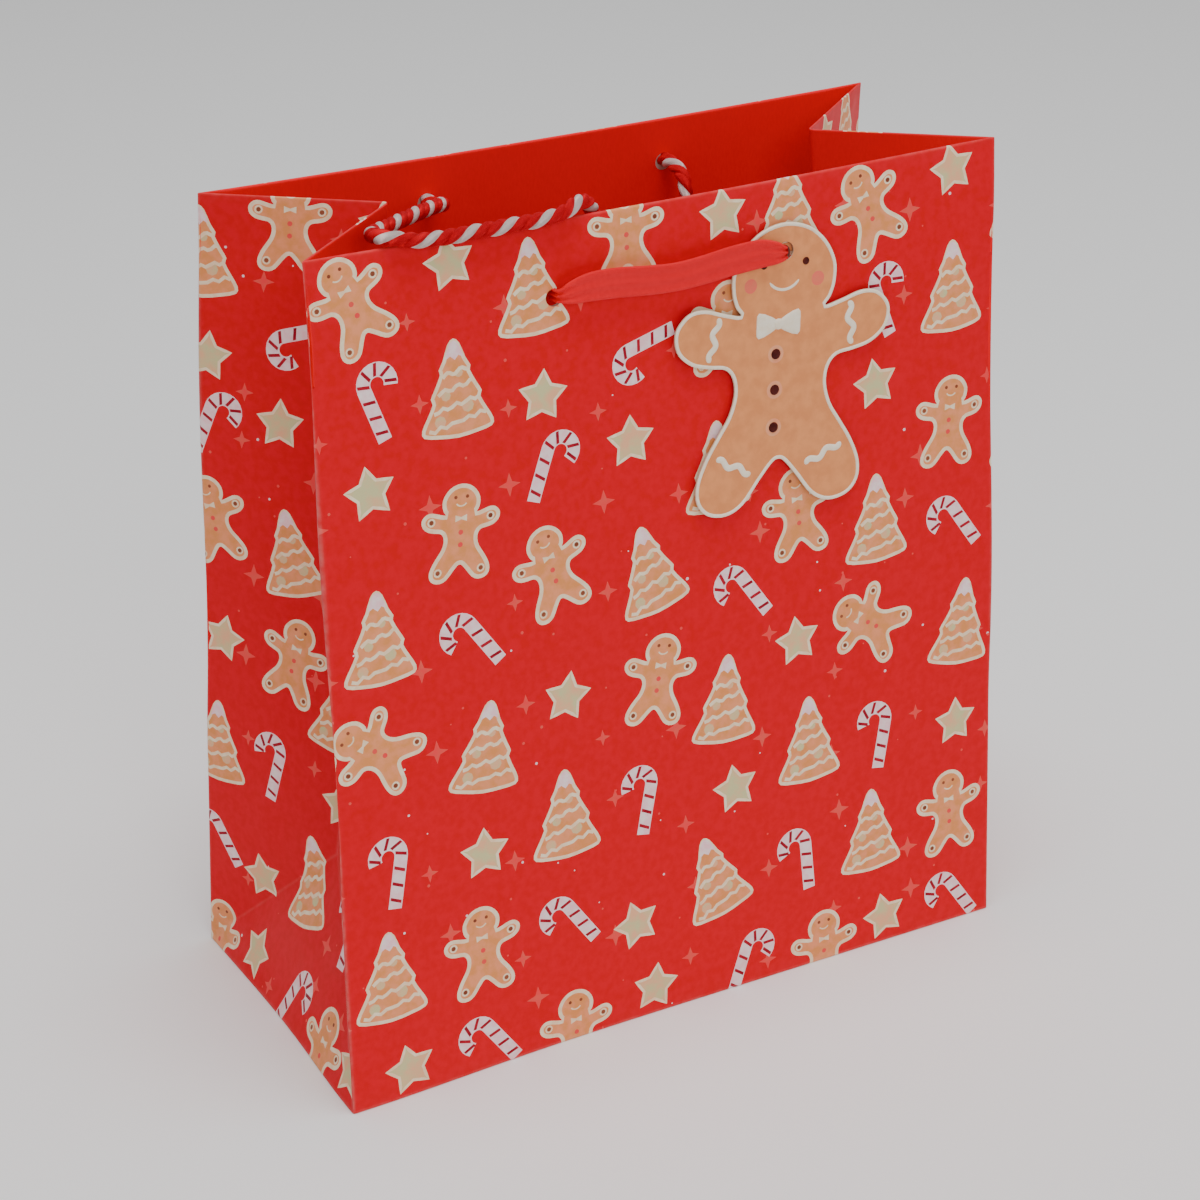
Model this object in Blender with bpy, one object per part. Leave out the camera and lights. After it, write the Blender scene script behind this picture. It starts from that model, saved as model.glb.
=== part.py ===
"""Paper gift bag with two cord handles, a ribbon and a die-cut gift tag.

Metres, +Z up. The origin is the middle of the base, on the surface the bag stands on. The front wall
faces -Y. The front and back walls lean in towards the mouth, and each side gusset folds inwards: a flat
triangle rises from the base, and above its tip the gusset is a V whose two halves meet on a middle crease.
The sleeve is one sheet on the real bag. Here each panel between creases is a solid of its own.
"""

from math import atan, cos, pi, radians, sin

import bmesh
import bpy
from mathutils import Vector

# Driving sizes of the bag
WIDTH = 0.228
DEPTH = 0.112
HEIGHT = 0.255
MOUTH_DEPTH = 0.072

# Sheet thicknesses and the clearance between touching pieces
PAPER = 0.0005
CARD = 0.0006
HEM_PAPER = 0.0004
BOARD = 0.0012
GAP = 0.0003

# Layers of the rim, as depths behind the outer face of a wall
CARD_DEPTH = PAPER + GAP
HEM_DEPTH = CARD_DEPTH + CARD + GAP
RIM_DEPTH = HEM_DEPTH + HEM_PAPER
HEM_HEIGHT = 0.034
CARD_HEIGHT = 0.029
CARD_DROP = 0.0012
HEM_END_MARGIN = 0.008
CARD_END_MARGIN = 0.011

# Side gussets: the base triangle's tip, and how far the middle is folded in at the tip and at the mouth,
# where a half is as wide as half the depth of the base
TIP_HEIGHT = 0.052
TIP_FOLD = 0.0214
MOUTH_FOLD = ((DEPTH / 2) ** 2 - (MOUTH_DEPTH / 2) ** 2) ** 0.5
CREASE_GAP = 0.0003
CORNER_START = 0.005
GUSSET_HEM_START = 0.004
GUSSET_HEM_END = 0.0015
GUSSET_STEPS = 4
BASE_TRIANGLE_ROWS = 9
BASE_TRIANGLE_COLUMNS = 3

# Seam tab and folded bottom
SEAM_START = 0.005
SEAM_WIDTH = 0.014
FLAP_SIDE_MARGIN = 0.0028
FLAP_END_MARGIN = 0.001
FLAP_OVERLAP = 0.022
SIDE_FLAP_REACH = 0.044
SIDE_FLAP_TAPER = 0.032
BOARD_SIDE_MARGIN = 0.0042
BOARD_END_MARGIN = 0.0025

# Cord handles
HANDLE_HALF_SPAN = 0.041
HANDLE_DROP = 0.014
HANDLE_DIAMETER = 0.0045
HANDLE_HOLE_RADIUS = 0.0029
HANDLE_POINTS = 60
HANDLE_BEVEL = 2
ROUND_END_ANGLES = (20, 45, 70, 90)
END_HEIGHT = 0.007
END_INWARD = 0.0035
END_OUTWARD = 0.0115
WINDOW_MARGIN = 0.0008

# Ribbon, its knots and the tag
RIBBON_HALF_SPAN = 0.038
RIBBON_DROP = 0.022
RIBBON_THICKNESS = 0.0004
RIBBON_HOLE_RADIUS = 0.003
RIBBON_POINTS = 48
KNOT_RADII = (0.0040, 0.0026, 0.0036)
KNOT_GAP = 0.0004
KNOT_SUBDIVISIONS = 2
TAG_STANDOFF = 0.001
TAG_THICKNESS = 0.0006
TAG_TILT = 3.5
TAG_POINTS_PER_CORNER = 2

# Fineness of round holes and of smooth curves
HOLE_SIDES = 20
CURVE_STEPS = 12

# The back handle lies forward over the mouth. From its left hole it crosses the tip of the left gusset,
# turns and runs along the front rim, then dips into the bag and comes up to its right hole. x, y and the
# height above the rim.
BACK_HANDLE_ROUTE = [
    (-0.0410, 0.0354, -0.0140),
    (-0.0410, 0.0300, -0.0140),
    (-0.0425, 0.0225, -0.0128),
    (-0.0465, 0.0145, -0.0100),
    (-0.0530, 0.0075, -0.0060),
    (-0.0615, 0.0015, -0.0012),
    (-0.0700, -0.0042, 0.0024),
    (-0.0770, -0.0098, 0.0028),
    (-0.0830, -0.0158, 0.0026),
    (-0.0857, -0.0223, 0.0020),
    (-0.0830, -0.0288, 0.0013),
    (-0.0765, -0.0315, 0.0010),
    (-0.0660, -0.0315, 0.0009),
    (-0.0500, -0.0315, 0.0009),
    (-0.0370, -0.0313, 0.0007),
    (-0.0270, -0.0300, -0.0020),
    (-0.0180, -0.0262, -0.0085),
    (-0.0090, -0.0195, -0.0195),
    (0.0000, -0.0110, -0.0310),
    (0.0100, -0.0015, -0.0395),
    (0.0205, 0.0075, -0.0430),
    (0.0300, 0.0145, -0.0405),
    (0.0368, 0.0192, -0.0335),
    (0.0403, 0.0212, -0.0245),
    (0.0410, 0.0238, -0.0168),
    (0.0410, 0.0305, -0.0140),
    (0.0410, 0.0354, -0.0140),
]

# The left half of the front handle, which hangs inside the bag. x, y and the height above the rim.
FRONT_HANDLE_HALF = [
    (-0.0410, -0.0354, -0.0140),
    (-0.0410, -0.0305, -0.0140),
    (-0.0410, -0.0240, -0.0167),
    (-0.0409, -0.0213, -0.0232),
    (-0.0408, -0.0212, -0.0320),
    (-0.0405, -0.0212, -0.0500),
    (-0.0400, -0.0212, -0.0700),
    (-0.0372, -0.0211, -0.0880),
    (-0.0295, -0.0211, -0.1045),
    (-0.0165, -0.0211, -0.1152),
    (0.0000, -0.0211, -0.1190),
]

# The left half of the ribbon, from its knot out through the wall and down to the middle of the front, where
# it sags. Each entry is x, the distance in front of the wall, the height above the rim and half the width.
RIBBON_HALF = [
    (-0.0380, -0.0021, -0.0220, 0.0018),
    (-0.0380, 0.0012, -0.0220, 0.0018),
    (-0.0371, 0.0023, -0.0222, 0.0019),
    (-0.0340, 0.0025, -0.0229, 0.0024),
    (-0.0280, 0.0025, -0.0243, 0.0034),
    (-0.0185, 0.0024, -0.0261, 0.0039),
    (-0.0090, 0.0024, -0.0273, 0.0040),
    (0.0000, 0.0024, -0.0277, 0.0040),
]

# The right half of the tag's outline, a plain gingerbread figure, measured from its hole: across and up
TAG_HALF_OUTLINE = [
    (0.0000, 0.0085),
    (0.0080, 0.0067),
    (0.0140, 0.0020),
    (0.0176, -0.0045),
    (0.0178, -0.0105),
    (0.0164, -0.0150),
    (0.0146, -0.0176),
    (0.0200, -0.0164),
    (0.0270, -0.0144),
    (0.0325, -0.0150),
    (0.0364, -0.0186),
    (0.0372, -0.0226),
    (0.0356, -0.0270),
    (0.0310, -0.0306),
    (0.0250, -0.0322),
    (0.0194, -0.0332),
    (0.0166, -0.0364),
    (0.0160, -0.0415),
    (0.0178, -0.0475),
    (0.0214, -0.0530),
    (0.0256, -0.0595),
    (0.0285, -0.0665),
    (0.0282, -0.0725),
    (0.0244, -0.0766),
    (0.0180, -0.0777),
    (0.0120, -0.0750),
    (0.0063, -0.0682),
    (0.0022, -0.0636),
    (0.0000, -0.0626),
]

COLOURS = {
    "printed_paper": ((0.80, 0.02, 0.03, 1), 0.35),
    "inner_paper": ((0.62, 0.01, 0.02, 1), 0.6),
    "card": ((0.62, 0.55, 0.45, 1), 0.9),
    "handle_cord": ((0.75, 0.03, 0.04, 1), 0.6),
    "ribbon": ((0.85, 0.03, 0.05, 1), 0.35),
    "tag_card": ((0.42, 0.25, 0.16, 1), 0.8),
}


def clear_objects():
    for old in list(bpy.data.objects):
        bpy.data.objects.remove(old, do_unlink=True)


def make_materials():
    made = {}
    for name, (colour, roughness) in COLOURS.items():
        material = bpy.data.materials.new(name)
        material.use_nodes = True
        shader = material.node_tree.nodes["Principled BSDF"]
        shader.inputs["Base Color"].default_value = colour
        shader.inputs["Roughness"].default_value = roughness
        made[name] = material
    return made


def add_mesh(name, vertices, faces, material):
    mesh = bpy.data.meshes.new(name)
    mesh.from_pydata([tuple(v) for v in vertices], [], faces)
    build = bmesh.new()
    build.from_mesh(mesh)
    bmesh.ops.recalc_face_normals(build, faces=build.faces)
    bmesh.ops.triangulate(build, faces=build.faces, ngon_method="EAR_CLIP")
    build.to_mesh(mesh)
    build.free()
    piece = bpy.data.objects.new(name, mesh)
    bpy.context.scene.collection.objects.link(piece)
    if material:
        piece.data.materials.append(material)
    return piece


def add_sheet(name, point, rows, columns, material):
    """A closed sheet between two faces: point(row, column, face) gives each corner, and face is 0 or 1."""
    vertices = []
    for face in (0, 1):
        for row in range(rows):
            for column in range(columns):
                vertices.append(point(row / (rows - 1), column / (columns - 1), face))
    layer = rows * columns

    def index(row, column, face):
        return face * layer + row * columns + column

    faces = []
    for row in range(rows - 1):
        for column in range(columns - 1):
            corners = [(row, column), (row, column + 1), (row + 1, column + 1), (row + 1, column)]
            faces.append([index(r, c, 0) for r, c in corners])
            faces.append([index(r, c, 1) for r, c in reversed(corners)])
    border = [(0, c) for c in range(columns)]
    border += [(r, columns - 1) for r in range(1, rows)]
    border += [(rows - 1, c) for c in range(columns - 2, -1, -1)]
    border += [(r, 0) for r in range(rows - 2, 0, -1)]
    for (r0, c0), (r1, c1) in zip(border, border[1:] + border[:1]):
        faces.append([index(r0, c0, 0), index(r0, c0, 1), index(r1, c1, 1), index(r1, c1, 0)])
    return add_mesh(name, vertices, faces, material)


def add_prism(name, outline, place, material):
    """A closed prism: place(a, b, face) puts each point of the flat outline on face 0 or 1."""
    count = len(outline)
    vertices = [place(a, b, face) for face in (0, 1) for a, b in outline]
    faces = [list(range(count)), [count + i for i in reversed(range(count))]]
    for i in range(count):
        j = (i + 1) % count
        faces.append([i, i + count, j + count, j])
    return add_mesh(name, vertices, faces, material)


def cut_hole(target, name, low, high):
    """Cuts a box from low to high out of target."""
    corners = [(x, y, z) for x in (low[0], high[0]) for y in (low[1], high[1]) for z in (low[2], high[2])]
    faces = [[0, 1, 3, 2], [4, 6, 7, 5], [0, 4, 5, 1], [2, 3, 7, 6], [0, 2, 6, 4], [1, 5, 7, 3]]
    add_cut(target, add_mesh(name, corners, faces, None))


def cut_round_hole(target, name, centre, radius, reach):
    """Cuts a round hole along Y out of target."""
    angles = [2 * pi * i / HOLE_SIDES for i in range(HOLE_SIDES)]
    circle = [(radius * cos(angle), radius * sin(angle)) for angle in angles]

    def place(a, b, face):
        return (centre[0] + a, centre[1] + (reach if face else -reach), centre[2] + b)

    add_cut(target, add_prism(name, circle, place, None))


def add_cut(target, cutter):
    cutter.hide_render = True
    cutter.display_type = "WIRE"
    modifier = target.modifiers.new(cutter.name, "BOOLEAN")
    modifier.operation = "DIFFERENCE"
    modifier.solver = "EXACT"
    modifier.object = cutter


def half_depth(z):
    """Half the depth of the bag, to the outer faces, at height z."""
    return DEPTH / 2 - (DEPTH - MOUTH_DEPTH) / 2 * z / HEIGHT


def fold(z):
    """How far the middle of a side gusset is folded in at height z."""
    if z < TIP_HEIGHT:
        return TIP_FOLD * z / TIP_HEIGHT
    rise = (z - TIP_HEIGHT) / (HEIGHT - TIP_HEIGHT)
    return TIP_FOLD + (MOUTH_FOLD - TIP_FOLD) * rise


def triangle_half_width(z):
    """Half the width of a gusset's base triangle at height z."""
    return DEPTH / 2 * max(0.0, 1 - z / TIP_HEIGHT)


def add_wall_sheet(name, side, x_span, z_span, depth_span, material):
    """A flat sheet in the front wall (side -1) or back wall (side 1), between two depths behind its face."""

    def point(row, column, face):
        z = z_span[0] + (z_span[1] - z_span[0]) * row
        x = x_span[0] + (x_span[1] - x_span[0]) * column
        return Vector((x, side * (half_depth(z) - depth_span[face]), z))

    return add_sheet(name, point, 2, 2, material)


def add_gusset_half(name, side, half, z_span, depth_span, margins, material):
    """Half of a side gusset: side is -1 left or 1 right, half is -1 front or 1 back.

    margins are the distances kept from the wall's inner face and from the middle crease. The rows are
    spaced evenly below the base triangle's tip and again above it, so that one row lies at the tip."""
    zones = [z_span[0]] + [TIP_HEIGHT] * (z_span[0] < TIP_HEIGHT) + [z_span[1]]
    levels = []
    for low, high in zip(zones, zones[1:]):
        levels += [low + (high - low) * step / GUSSET_STEPS for step in range(GUSSET_STEPS)]
    levels.append(z_span[1])

    def point(row, column, face):
        z = levels[round(row * (len(levels) - 1))]
        corner = Vector((WIDTH / 2, half * half_depth(z), z))
        inner = Vector((WIDTH / 2 - fold(z), half * triangle_half_width(z), z))
        along = inner - corner
        length = along.length
        along /= length
        start = (PAPER + GAP + depth_span[1] * abs(along.x)) / abs(along.y) + margins[0]
        distance = start + (length - margins[1] - start) * column
        inward = Vector((-abs(along.y), half * abs(along.x), 0))
        place = corner + along * distance + inward * depth_span[face]
        return Vector((side * place.x, place.y, place.z))

    return add_sheet(name, point, len(levels), 2, material)


def add_gusset_base(name, side, material):
    """The triangle at the foot of a side gusset, between the two diagonal creases. Its tip is cut blunt."""
    foot = DEPTH / 2 - PAPER - GAP - CREASE_GAP
    top = TIP_HEIGHT - CORNER_START / 2

    def point(row, column, face):
        z = top * row
        reach = min(foot, triangle_half_width(z) - CREASE_GAP * 3 / 2)
        return Vector((side * (WIDTH / 2 - fold(z) - face * PAPER), reach * (2 * column - 1), z))

    return add_sheet(name, point, BASE_TRIANGLE_ROWS, BASE_TRIANGLE_COLUMNS, material)


def add_level_sheet(name, outline, low, high, material):
    """A flat sheet parallel to the base, from height low to height high."""

    def place(a, b, face):
        return (a, b, high if face else low)

    return add_prism(name, outline, place, material)


def smooth_path(points, count):
    """count points, evenly spaced along a Catmull-Rom curve through the given points.

    A point starts with x, y and z, and any numbers after them change smoothly along the curve too."""
    fine = []
    ends = [points[0]] + list(points) + [points[-1]]
    for i in range(len(points) - 1):
        before, a, b, after = ends[i : i + 4]
        for step in range(CURVE_STEPS):
            t = step / CURVE_STEPS
            fine.append([catmull_rom(*values, t) for values in zip(before, a, b, after)])
    fine.append(list(points[-1]))
    lengths = [0.0]
    for a, b in zip(fine, fine[1:]):
        lengths.append(lengths[-1] + (Vector(b[:3]) - Vector(a[:3])).length)
    spaced = []
    at = 0
    for i in range(count):
        wanted = lengths[-1] * i / (count - 1)
        while at < len(fine) - 2 and lengths[at + 1] < wanted:
            at += 1
        share = (wanted - lengths[at]) / (lengths[at + 1] - lengths[at])
        spaced.append([p + (q - p) * share for p, q in zip(fine[at], fine[at + 1])])
    return spaced


def catmull_rom(p0, p1, p2, p3, t):
    return 0.5 * (
        2 * p1 + (p2 - p0) * t + (2 * p0 - 5 * p1 + 4 * p2 - p3) * t**2 + (3 * p1 - p0 - 3 * p2 + p3) * t**3
    )


def round_end(tip, inner, radius):
    """Points and radius factors that close a cord with a half ball, from its tip towards the point inner.

    The ball's centre lies on the line that the handle swings about, so the cord turns in place there."""
    along = (Vector(inner) - Vector(tip)).normalized()
    angles = [radians(angle) for angle in ROUND_END_ANGLES]
    return [(Vector(tip) + along * radius * (1 - cos(angle)), sin(angle)) for angle in angles]


def add_cord(name, route, diameter, material):
    radius = diameter / 2
    curve = bpy.data.curves.new(name, "CURVE")
    curve.dimensions = "3D"
    curve.bevel_depth = radius
    curve.bevel_resolution = HANDLE_BEVEL
    curve.use_fill_caps = True
    curve.materials.append(material)
    points = smooth_path(route, HANDLE_POINTS)
    middle = [(point, 1.0) for point in points[1:-1]]
    last = round_end(points[-1], points[-2], radius)
    entries = round_end(points[0], points[1], radius) + middle + last[::-1]
    spline = curve.splines.new("POLY")
    spline.points.add(len(entries) - 1)
    for slot, (point, factor) in zip(spline.points, entries):
        slot.co = (*point, 1)
        slot.radius = factor
    piece = bpy.data.objects.new(name, curve)
    bpy.context.scene.collection.objects.link(piece)
    return piece


def add_strip(name, entries, thickness, material):
    """A closed ribbon with its width upright. Each entry is x, y and z of its centre and half its width."""
    centres = [Vector(entry[:3]) for entry in entries]
    vertices = []
    for i, entry in enumerate(entries):
        ahead = centres[min(i + 1, len(centres) - 1)] - centres[max(i - 1, 0)]
        facing = Vector((0, 0, 1)).cross(ahead).normalized()
        across = ahead.cross(facing).normalized() * entry[3]
        facing *= thickness / 2
        vertices += [centres[i] - across - facing, centres[i] + across - facing]
        vertices += [centres[i] + across + facing, centres[i] - across + facing]
    faces = [[0, 1, 2, 3], [len(vertices) - 1 - k for k in range(4)]]
    for i in range(len(entries) - 1):
        for k in range(4):
            a = 4 * i + k
            b = 4 * i + (k + 1) % 4
            faces.append([a, b, b + 4, a + 4])
    return add_mesh(name, vertices, faces, material)


def build_sleeve(materials):
    paper = materials["printed_paper"]
    full = (-WIDTH / 2, WIDTH / 2)
    front = add_wall_sheet("front_panel", -1, full, (0, HEIGHT), (0, PAPER), paper)
    add_wall_sheet("back_panel", 1, full, (0, HEIGHT), (0, PAPER), paper)
    for side, side_name in ((-1, "left"), (1, "right")):
        for half, half_name in ((-1, "front"), (1, "back")):
            name = f"{side_name}_gusset_{half_name}"
            z_span = (CORNER_START, HEIGHT)
            add_gusset_half(name, side, half, z_span, (0, PAPER), (0, CREASE_GAP), paper)
        add_gusset_base(f"{side_name}_gusset_base", side, paper)
    tab_x = (-WIDTH / 2 + SEAM_START, -WIDTH / 2 + SEAM_START + SEAM_WIDTH)
    tab_z = (CORNER_START, HEIGHT - HEM_HEIGHT - FLAP_END_MARGIN)
    tab_depth = (CARD_DEPTH, CARD_DEPTH + HEM_PAPER)
    add_wall_sheet("side_seam_tab", 1, tab_x, tab_z, tab_depth, materials["inner_paper"])
    return front


def build_bottom(materials):
    paper = materials["printed_paper"]
    reach_x = WIDTH / 2 - FLAP_SIDE_MARGIN
    reach_y = DEPTH / 2 - FLAP_END_MARGIN
    level = PAPER + GAP
    for side, name, low in ((-1, "bottom_flap_front", 0), (1, "bottom_flap_back", level)):
        far = side * reach_y
        near = -side * FLAP_OVERLAP
        outline = [(-reach_x, far), (reach_x, far), (reach_x, near), (-reach_x, near)]
        add_level_sheet(name, outline, low, low + PAPER, paper)
    for side, name in ((-1, "bottom_flap_left"), (1, "bottom_flap_right")):
        inner_x = side * (reach_x - SIDE_FLAP_REACH)
        inner_y = reach_y - SIDE_FLAP_TAPER
        outer_x = side * reach_x
        outline = [(outer_x, -reach_y), (outer_x, reach_y), (inner_x, inner_y), (inner_x, -inner_y)]
        add_level_sheet(name, outline, 2 * level, 2 * level + PAPER, paper)
    board_x = WIDTH / 2 - BOARD_SIDE_MARGIN
    board_y = DEPTH / 2 - BOARD_END_MARGIN
    outline = [(-board_x, -board_y), (board_x, -board_y), (board_x, board_y), (-board_x, board_y)]
    add_level_sheet("base_board", outline, 3 * level, 3 * level + BOARD, materials["card"])


def build_rim(materials):
    """The turned-in hems, the reinforcement cards, and the holes and windows in them."""
    hem_x = WIDTH / 2 - HEM_END_MARGIN
    card_x = WIDTH / 2 - CARD_END_MARGIN
    hem_z = (HEIGHT - HEM_HEIGHT, HEIGHT)
    card_z = (HEIGHT - CARD_DROP - CARD_HEIGHT, HEIGHT - CARD_DROP)
    inner = materials["inner_paper"]
    grey = materials["card"]
    hem_depth = (HEM_DEPTH, RIM_DEPTH)
    card_depth = (CARD_DEPTH, CARD_DEPTH + CARD)
    layers = {}
    for side, name in ((-1, "front"), (1, "back")):
        hem = add_wall_sheet(f"{name}_hem", side, (-hem_x, hem_x), hem_z, hem_depth, inner)
        card = add_wall_sheet(f"{name}_card", side, (-card_x, card_x), card_z, card_depth, grey)
        layers[name] = (hem, card)
        cut_handle_seats(side, name, hem, card)
    for side, side_name in ((-1, "left"), (1, "right")):
        for half, half_name in ((-1, "front"), (1, "back")):
            name = f"{side_name}_hem_{half_name}"
            depth = (CARD_DEPTH, CARD_DEPTH + HEM_PAPER)
            margins = (GUSSET_HEM_START, GUSSET_HEM_END)
            add_gusset_half(name, side, half, hem_z, depth, margins, inner)
    return layers["front"]


def cut_handle_seats(side, name, hem, card):
    """A round hole in the hem for each cord, and a window in the card for its flattened end.

    The cutters reach well past both faces of the thin layer that they cut."""
    z = HEIGHT - HANDLE_DROP
    y = side * half_depth(z)
    for end in (-1, 1):
        x = end * HANDLE_HALF_SPAN
        centre = (x, y - side * RIM_DEPTH, z)
        cut_round_hole(hem, f"cut_{name}_hem_{end}", centre, HANDLE_HOLE_RADIUS, PAPER)
        left, right = end_span(end)
        half_window = END_HEIGHT / 2 + WINDOW_MARGIN
        low = (left - WINDOW_MARGIN, y - 2 * RIM_DEPTH, z - half_window)
        high = (right + WINDOW_MARGIN, y + 2 * RIM_DEPTH, z + half_window)
        cut_hole(card, f"cut_{name}_card_{end}", low, high)


def end_span(end):
    """The x range of a cord's flattened end, which runs outwards from its hole: end is -1 left or 1 right."""
    inner = end * (HANDLE_HALF_SPAN - END_INWARD)
    outer = end * (HANDLE_HALF_SPAN + END_OUTWARD)
    return min(inner, outer), max(inner, outer)


def build_handles(materials):
    above_rim = Vector((0, 0, HEIGHT))
    mirrored = [(-x, y, z) for x, y, z in reversed(FRONT_HANDLE_HALF[:-1])]
    routes = {"front": FRONT_HANDLE_HALF + mirrored, "back": BACK_HANDLE_ROUTE}
    for name, route in routes.items():
        points = [tuple(Vector(p) + above_rim) for p in route]
        add_cord(f"{name}_handle_cord", points, HANDLE_DIAMETER, materials["handle_cord"])
    z_span = (HEIGHT - HANDLE_DROP - END_HEIGHT / 2, HEIGHT - HANDLE_DROP + END_HEIGHT / 2)
    depth = (CARD_DEPTH, CARD_DEPTH + CARD)
    for side, name in ((-1, "front"), (1, "back")):
        for end, end_name in ((-1, "left"), (1, "right")):
            piece_name = f"{name}_handle_end_{end_name}"
            add_wall_sheet(piece_name, side, end_span(end), z_span, depth, materials["handle_cord"])


def build_ribbon(materials, front_layers):
    z = HEIGHT - RIBBON_DROP
    y = -half_depth(z)
    for layer in front_layers:
        for end in (-1, 1):
            centre = (end * RIBBON_HALF_SPAN, y + RIM_DEPTH / 2, z)
            cut_round_hole(layer, f"cut_{layer.name}_ribbon_{end}", centre, RIBBON_HOLE_RADIUS, RIM_DEPTH)
    route = RIBBON_HALF + [(-x, *rest) for x, *rest in reversed(RIBBON_HALF[:-1])]
    entries = [(x, -half_depth(HEIGHT + rise) - out, HEIGHT + rise, width) for x, out, rise, width in route]
    add_strip("tag_ribbon", smooth_path(entries, RIBBON_POINTS), RIBBON_THICKNESS, materials["ribbon"])
    for end, name in ((-1, "ribbon_knot_left"), (1, "ribbon_knot_right")):
        centre = Vector((end * RIBBON_HALF_SPAN, y + RIM_DEPTH + KNOT_GAP + KNOT_RADII[1], z))
        add_knot(name, centre, materials["ribbon"])


def add_knot(name, centre, material):
    knot = bmesh.new()
    bmesh.ops.create_icosphere(knot, subdivisions=KNOT_SUBDIVISIONS, radius=1)
    bmesh.ops.scale(knot, vec=KNOT_RADII, verts=knot.verts)
    bmesh.ops.translate(knot, vec=centre, verts=knot.verts)
    mesh = bpy.data.meshes.new(name)
    knot.to_mesh(mesh)
    knot.free()
    mesh.materials.append(material)
    bpy.context.scene.collection.objects.link(bpy.data.objects.new(name, mesh))


def build_tag(materials):
    """The tag hangs parallel to the leaning front wall, from its hole over the wall's right ribbon hole.

    It hangs a little aslant, with its head tilted to the right by TAG_TILT degrees."""
    half = TAG_HALF_OUTLINE
    whole = half + [(-a, b) for a, b in reversed(half[1:-1])]
    closed = [(a, b, 0) for a, b in whole + whole[:1]]
    outline = [(a, b) for a, b, _ in smooth_path(closed, TAG_POINTS_PER_CORNER * len(closed))[:-1]]
    lean = atan((DEPTH - MOUTH_DEPTH) / 2 / HEIGHT)
    tilt = radians(TAG_TILT)
    wall_up = Vector((0, sin(lean), cos(lean)))
    out = Vector((0, -cos(lean), sin(lean)))
    across = Vector((cos(tilt), 0, 0)) - wall_up * sin(tilt)
    up = Vector((sin(tilt), 0, 0)) + wall_up * cos(tilt)
    z = HEIGHT - RIBBON_DROP
    hole = Vector((RIBBON_HALF_SPAN, -half_depth(z), z))

    def place(a, b, face):
        return hole + across * a + up * b + out * (TAG_STANDOFF + face * TAG_THICKNESS)

    tag = add_prism("gift_tag", outline, place, materials["tag_card"])
    centre = hole + out * TAG_STANDOFF
    cut_round_hole(tag, "cut_tag", centre, RIBBON_HOLE_RADIUS, 4 * TAG_THICKNESS)


def main():
    clear_objects()
    materials = make_materials()
    front_panel = build_sleeve(materials)
    build_bottom(materials)
    front_hem, front_card = build_rim(materials)
    build_handles(materials)
    build_ribbon(materials, [front_panel, front_card, front_hem])
    build_tag(materials)


main()
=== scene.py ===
"""Looks of the paper gift bag: its printed sleeve, card liners, cord handles, ribbon and gift tag.

Metres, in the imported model's frame: the origin is the middle of the base and the front wall faces -Y.
The sleeve is one sheet, drawn flat and then folded. Its flat coordinates are the distance round the bag
from the back left corner, and the height above the base. Print is drawn in millimetres.
"""

import math
import random

import bpy
import numpy as np
from mathutils import Matrix, Vector
from mathutils.geometry import delaunay_2d_cdt


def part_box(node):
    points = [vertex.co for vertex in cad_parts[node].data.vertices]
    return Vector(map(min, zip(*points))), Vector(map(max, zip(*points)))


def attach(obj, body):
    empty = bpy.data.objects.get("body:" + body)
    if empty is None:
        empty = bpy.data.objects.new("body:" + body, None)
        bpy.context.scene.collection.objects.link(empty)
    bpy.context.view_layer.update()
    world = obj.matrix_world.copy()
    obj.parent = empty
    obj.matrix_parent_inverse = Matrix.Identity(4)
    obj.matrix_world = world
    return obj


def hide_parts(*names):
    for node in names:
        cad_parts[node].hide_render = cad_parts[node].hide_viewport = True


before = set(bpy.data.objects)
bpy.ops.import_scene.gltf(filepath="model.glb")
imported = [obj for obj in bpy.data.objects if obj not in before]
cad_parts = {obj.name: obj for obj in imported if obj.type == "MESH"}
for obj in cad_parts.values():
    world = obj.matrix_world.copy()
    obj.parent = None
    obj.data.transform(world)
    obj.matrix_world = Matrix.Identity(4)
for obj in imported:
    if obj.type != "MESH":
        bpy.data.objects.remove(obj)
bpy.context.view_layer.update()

MM = 0.001

# ---------------------------------------------------------------- sizes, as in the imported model
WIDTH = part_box("front_panel")[1][0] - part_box("front_panel")[0][0]
DEPTH = -2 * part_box("front_panel")[0][1]
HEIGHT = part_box("front_panel")[1][2]
MOUTH_DEPTH = 0.072
TIP_HEIGHT = 0.052
TIP_FOLD = 0.0214
MOUTH_FOLD = ((DEPTH / 2) ** 2 - (MOUTH_DEPTH / 2) ** 2) ** 0.5
HEM_HEIGHT = 0.034
FLAP_LENGTH = DEPTH / 2 + 0.022
FLAP_MARGIN = 0.0015

# Distances round the sleeve from the back left corner to the other corners
FRONT_LEFT = DEPTH
FRONT_RIGHT = DEPTH + WIDTH
BACK_RIGHT = 2 * DEPTH + WIDTH
GIRTH = 2 * DEPTH + 2 * WIDTH

# Thicknesses and the depths of the rim's layers behind the printed face
PAPER = 0.00028
CARD_SPAN = (0.00033, 0.00093)
FOLD_RADIUS = 0.00063
GUSSET_FOLD_RADIUS = 0.00033
CORNER_ROUND = 0.0011
BASE_ROUND = 0.0006

# Holes. The ribbon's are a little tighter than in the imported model, close round the gathered ribbon.
HANDLE_HALF_SPAN = 0.041
HANDLE_HEIGHT = HEIGHT - 0.014
HANDLE_HOLE = 0.0029
RIBBON_HALF_SPAN = 0.038
RIBBON_HEIGHT = HEIGHT - 0.022
RIBBON_HOLE = 0.0026

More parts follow.
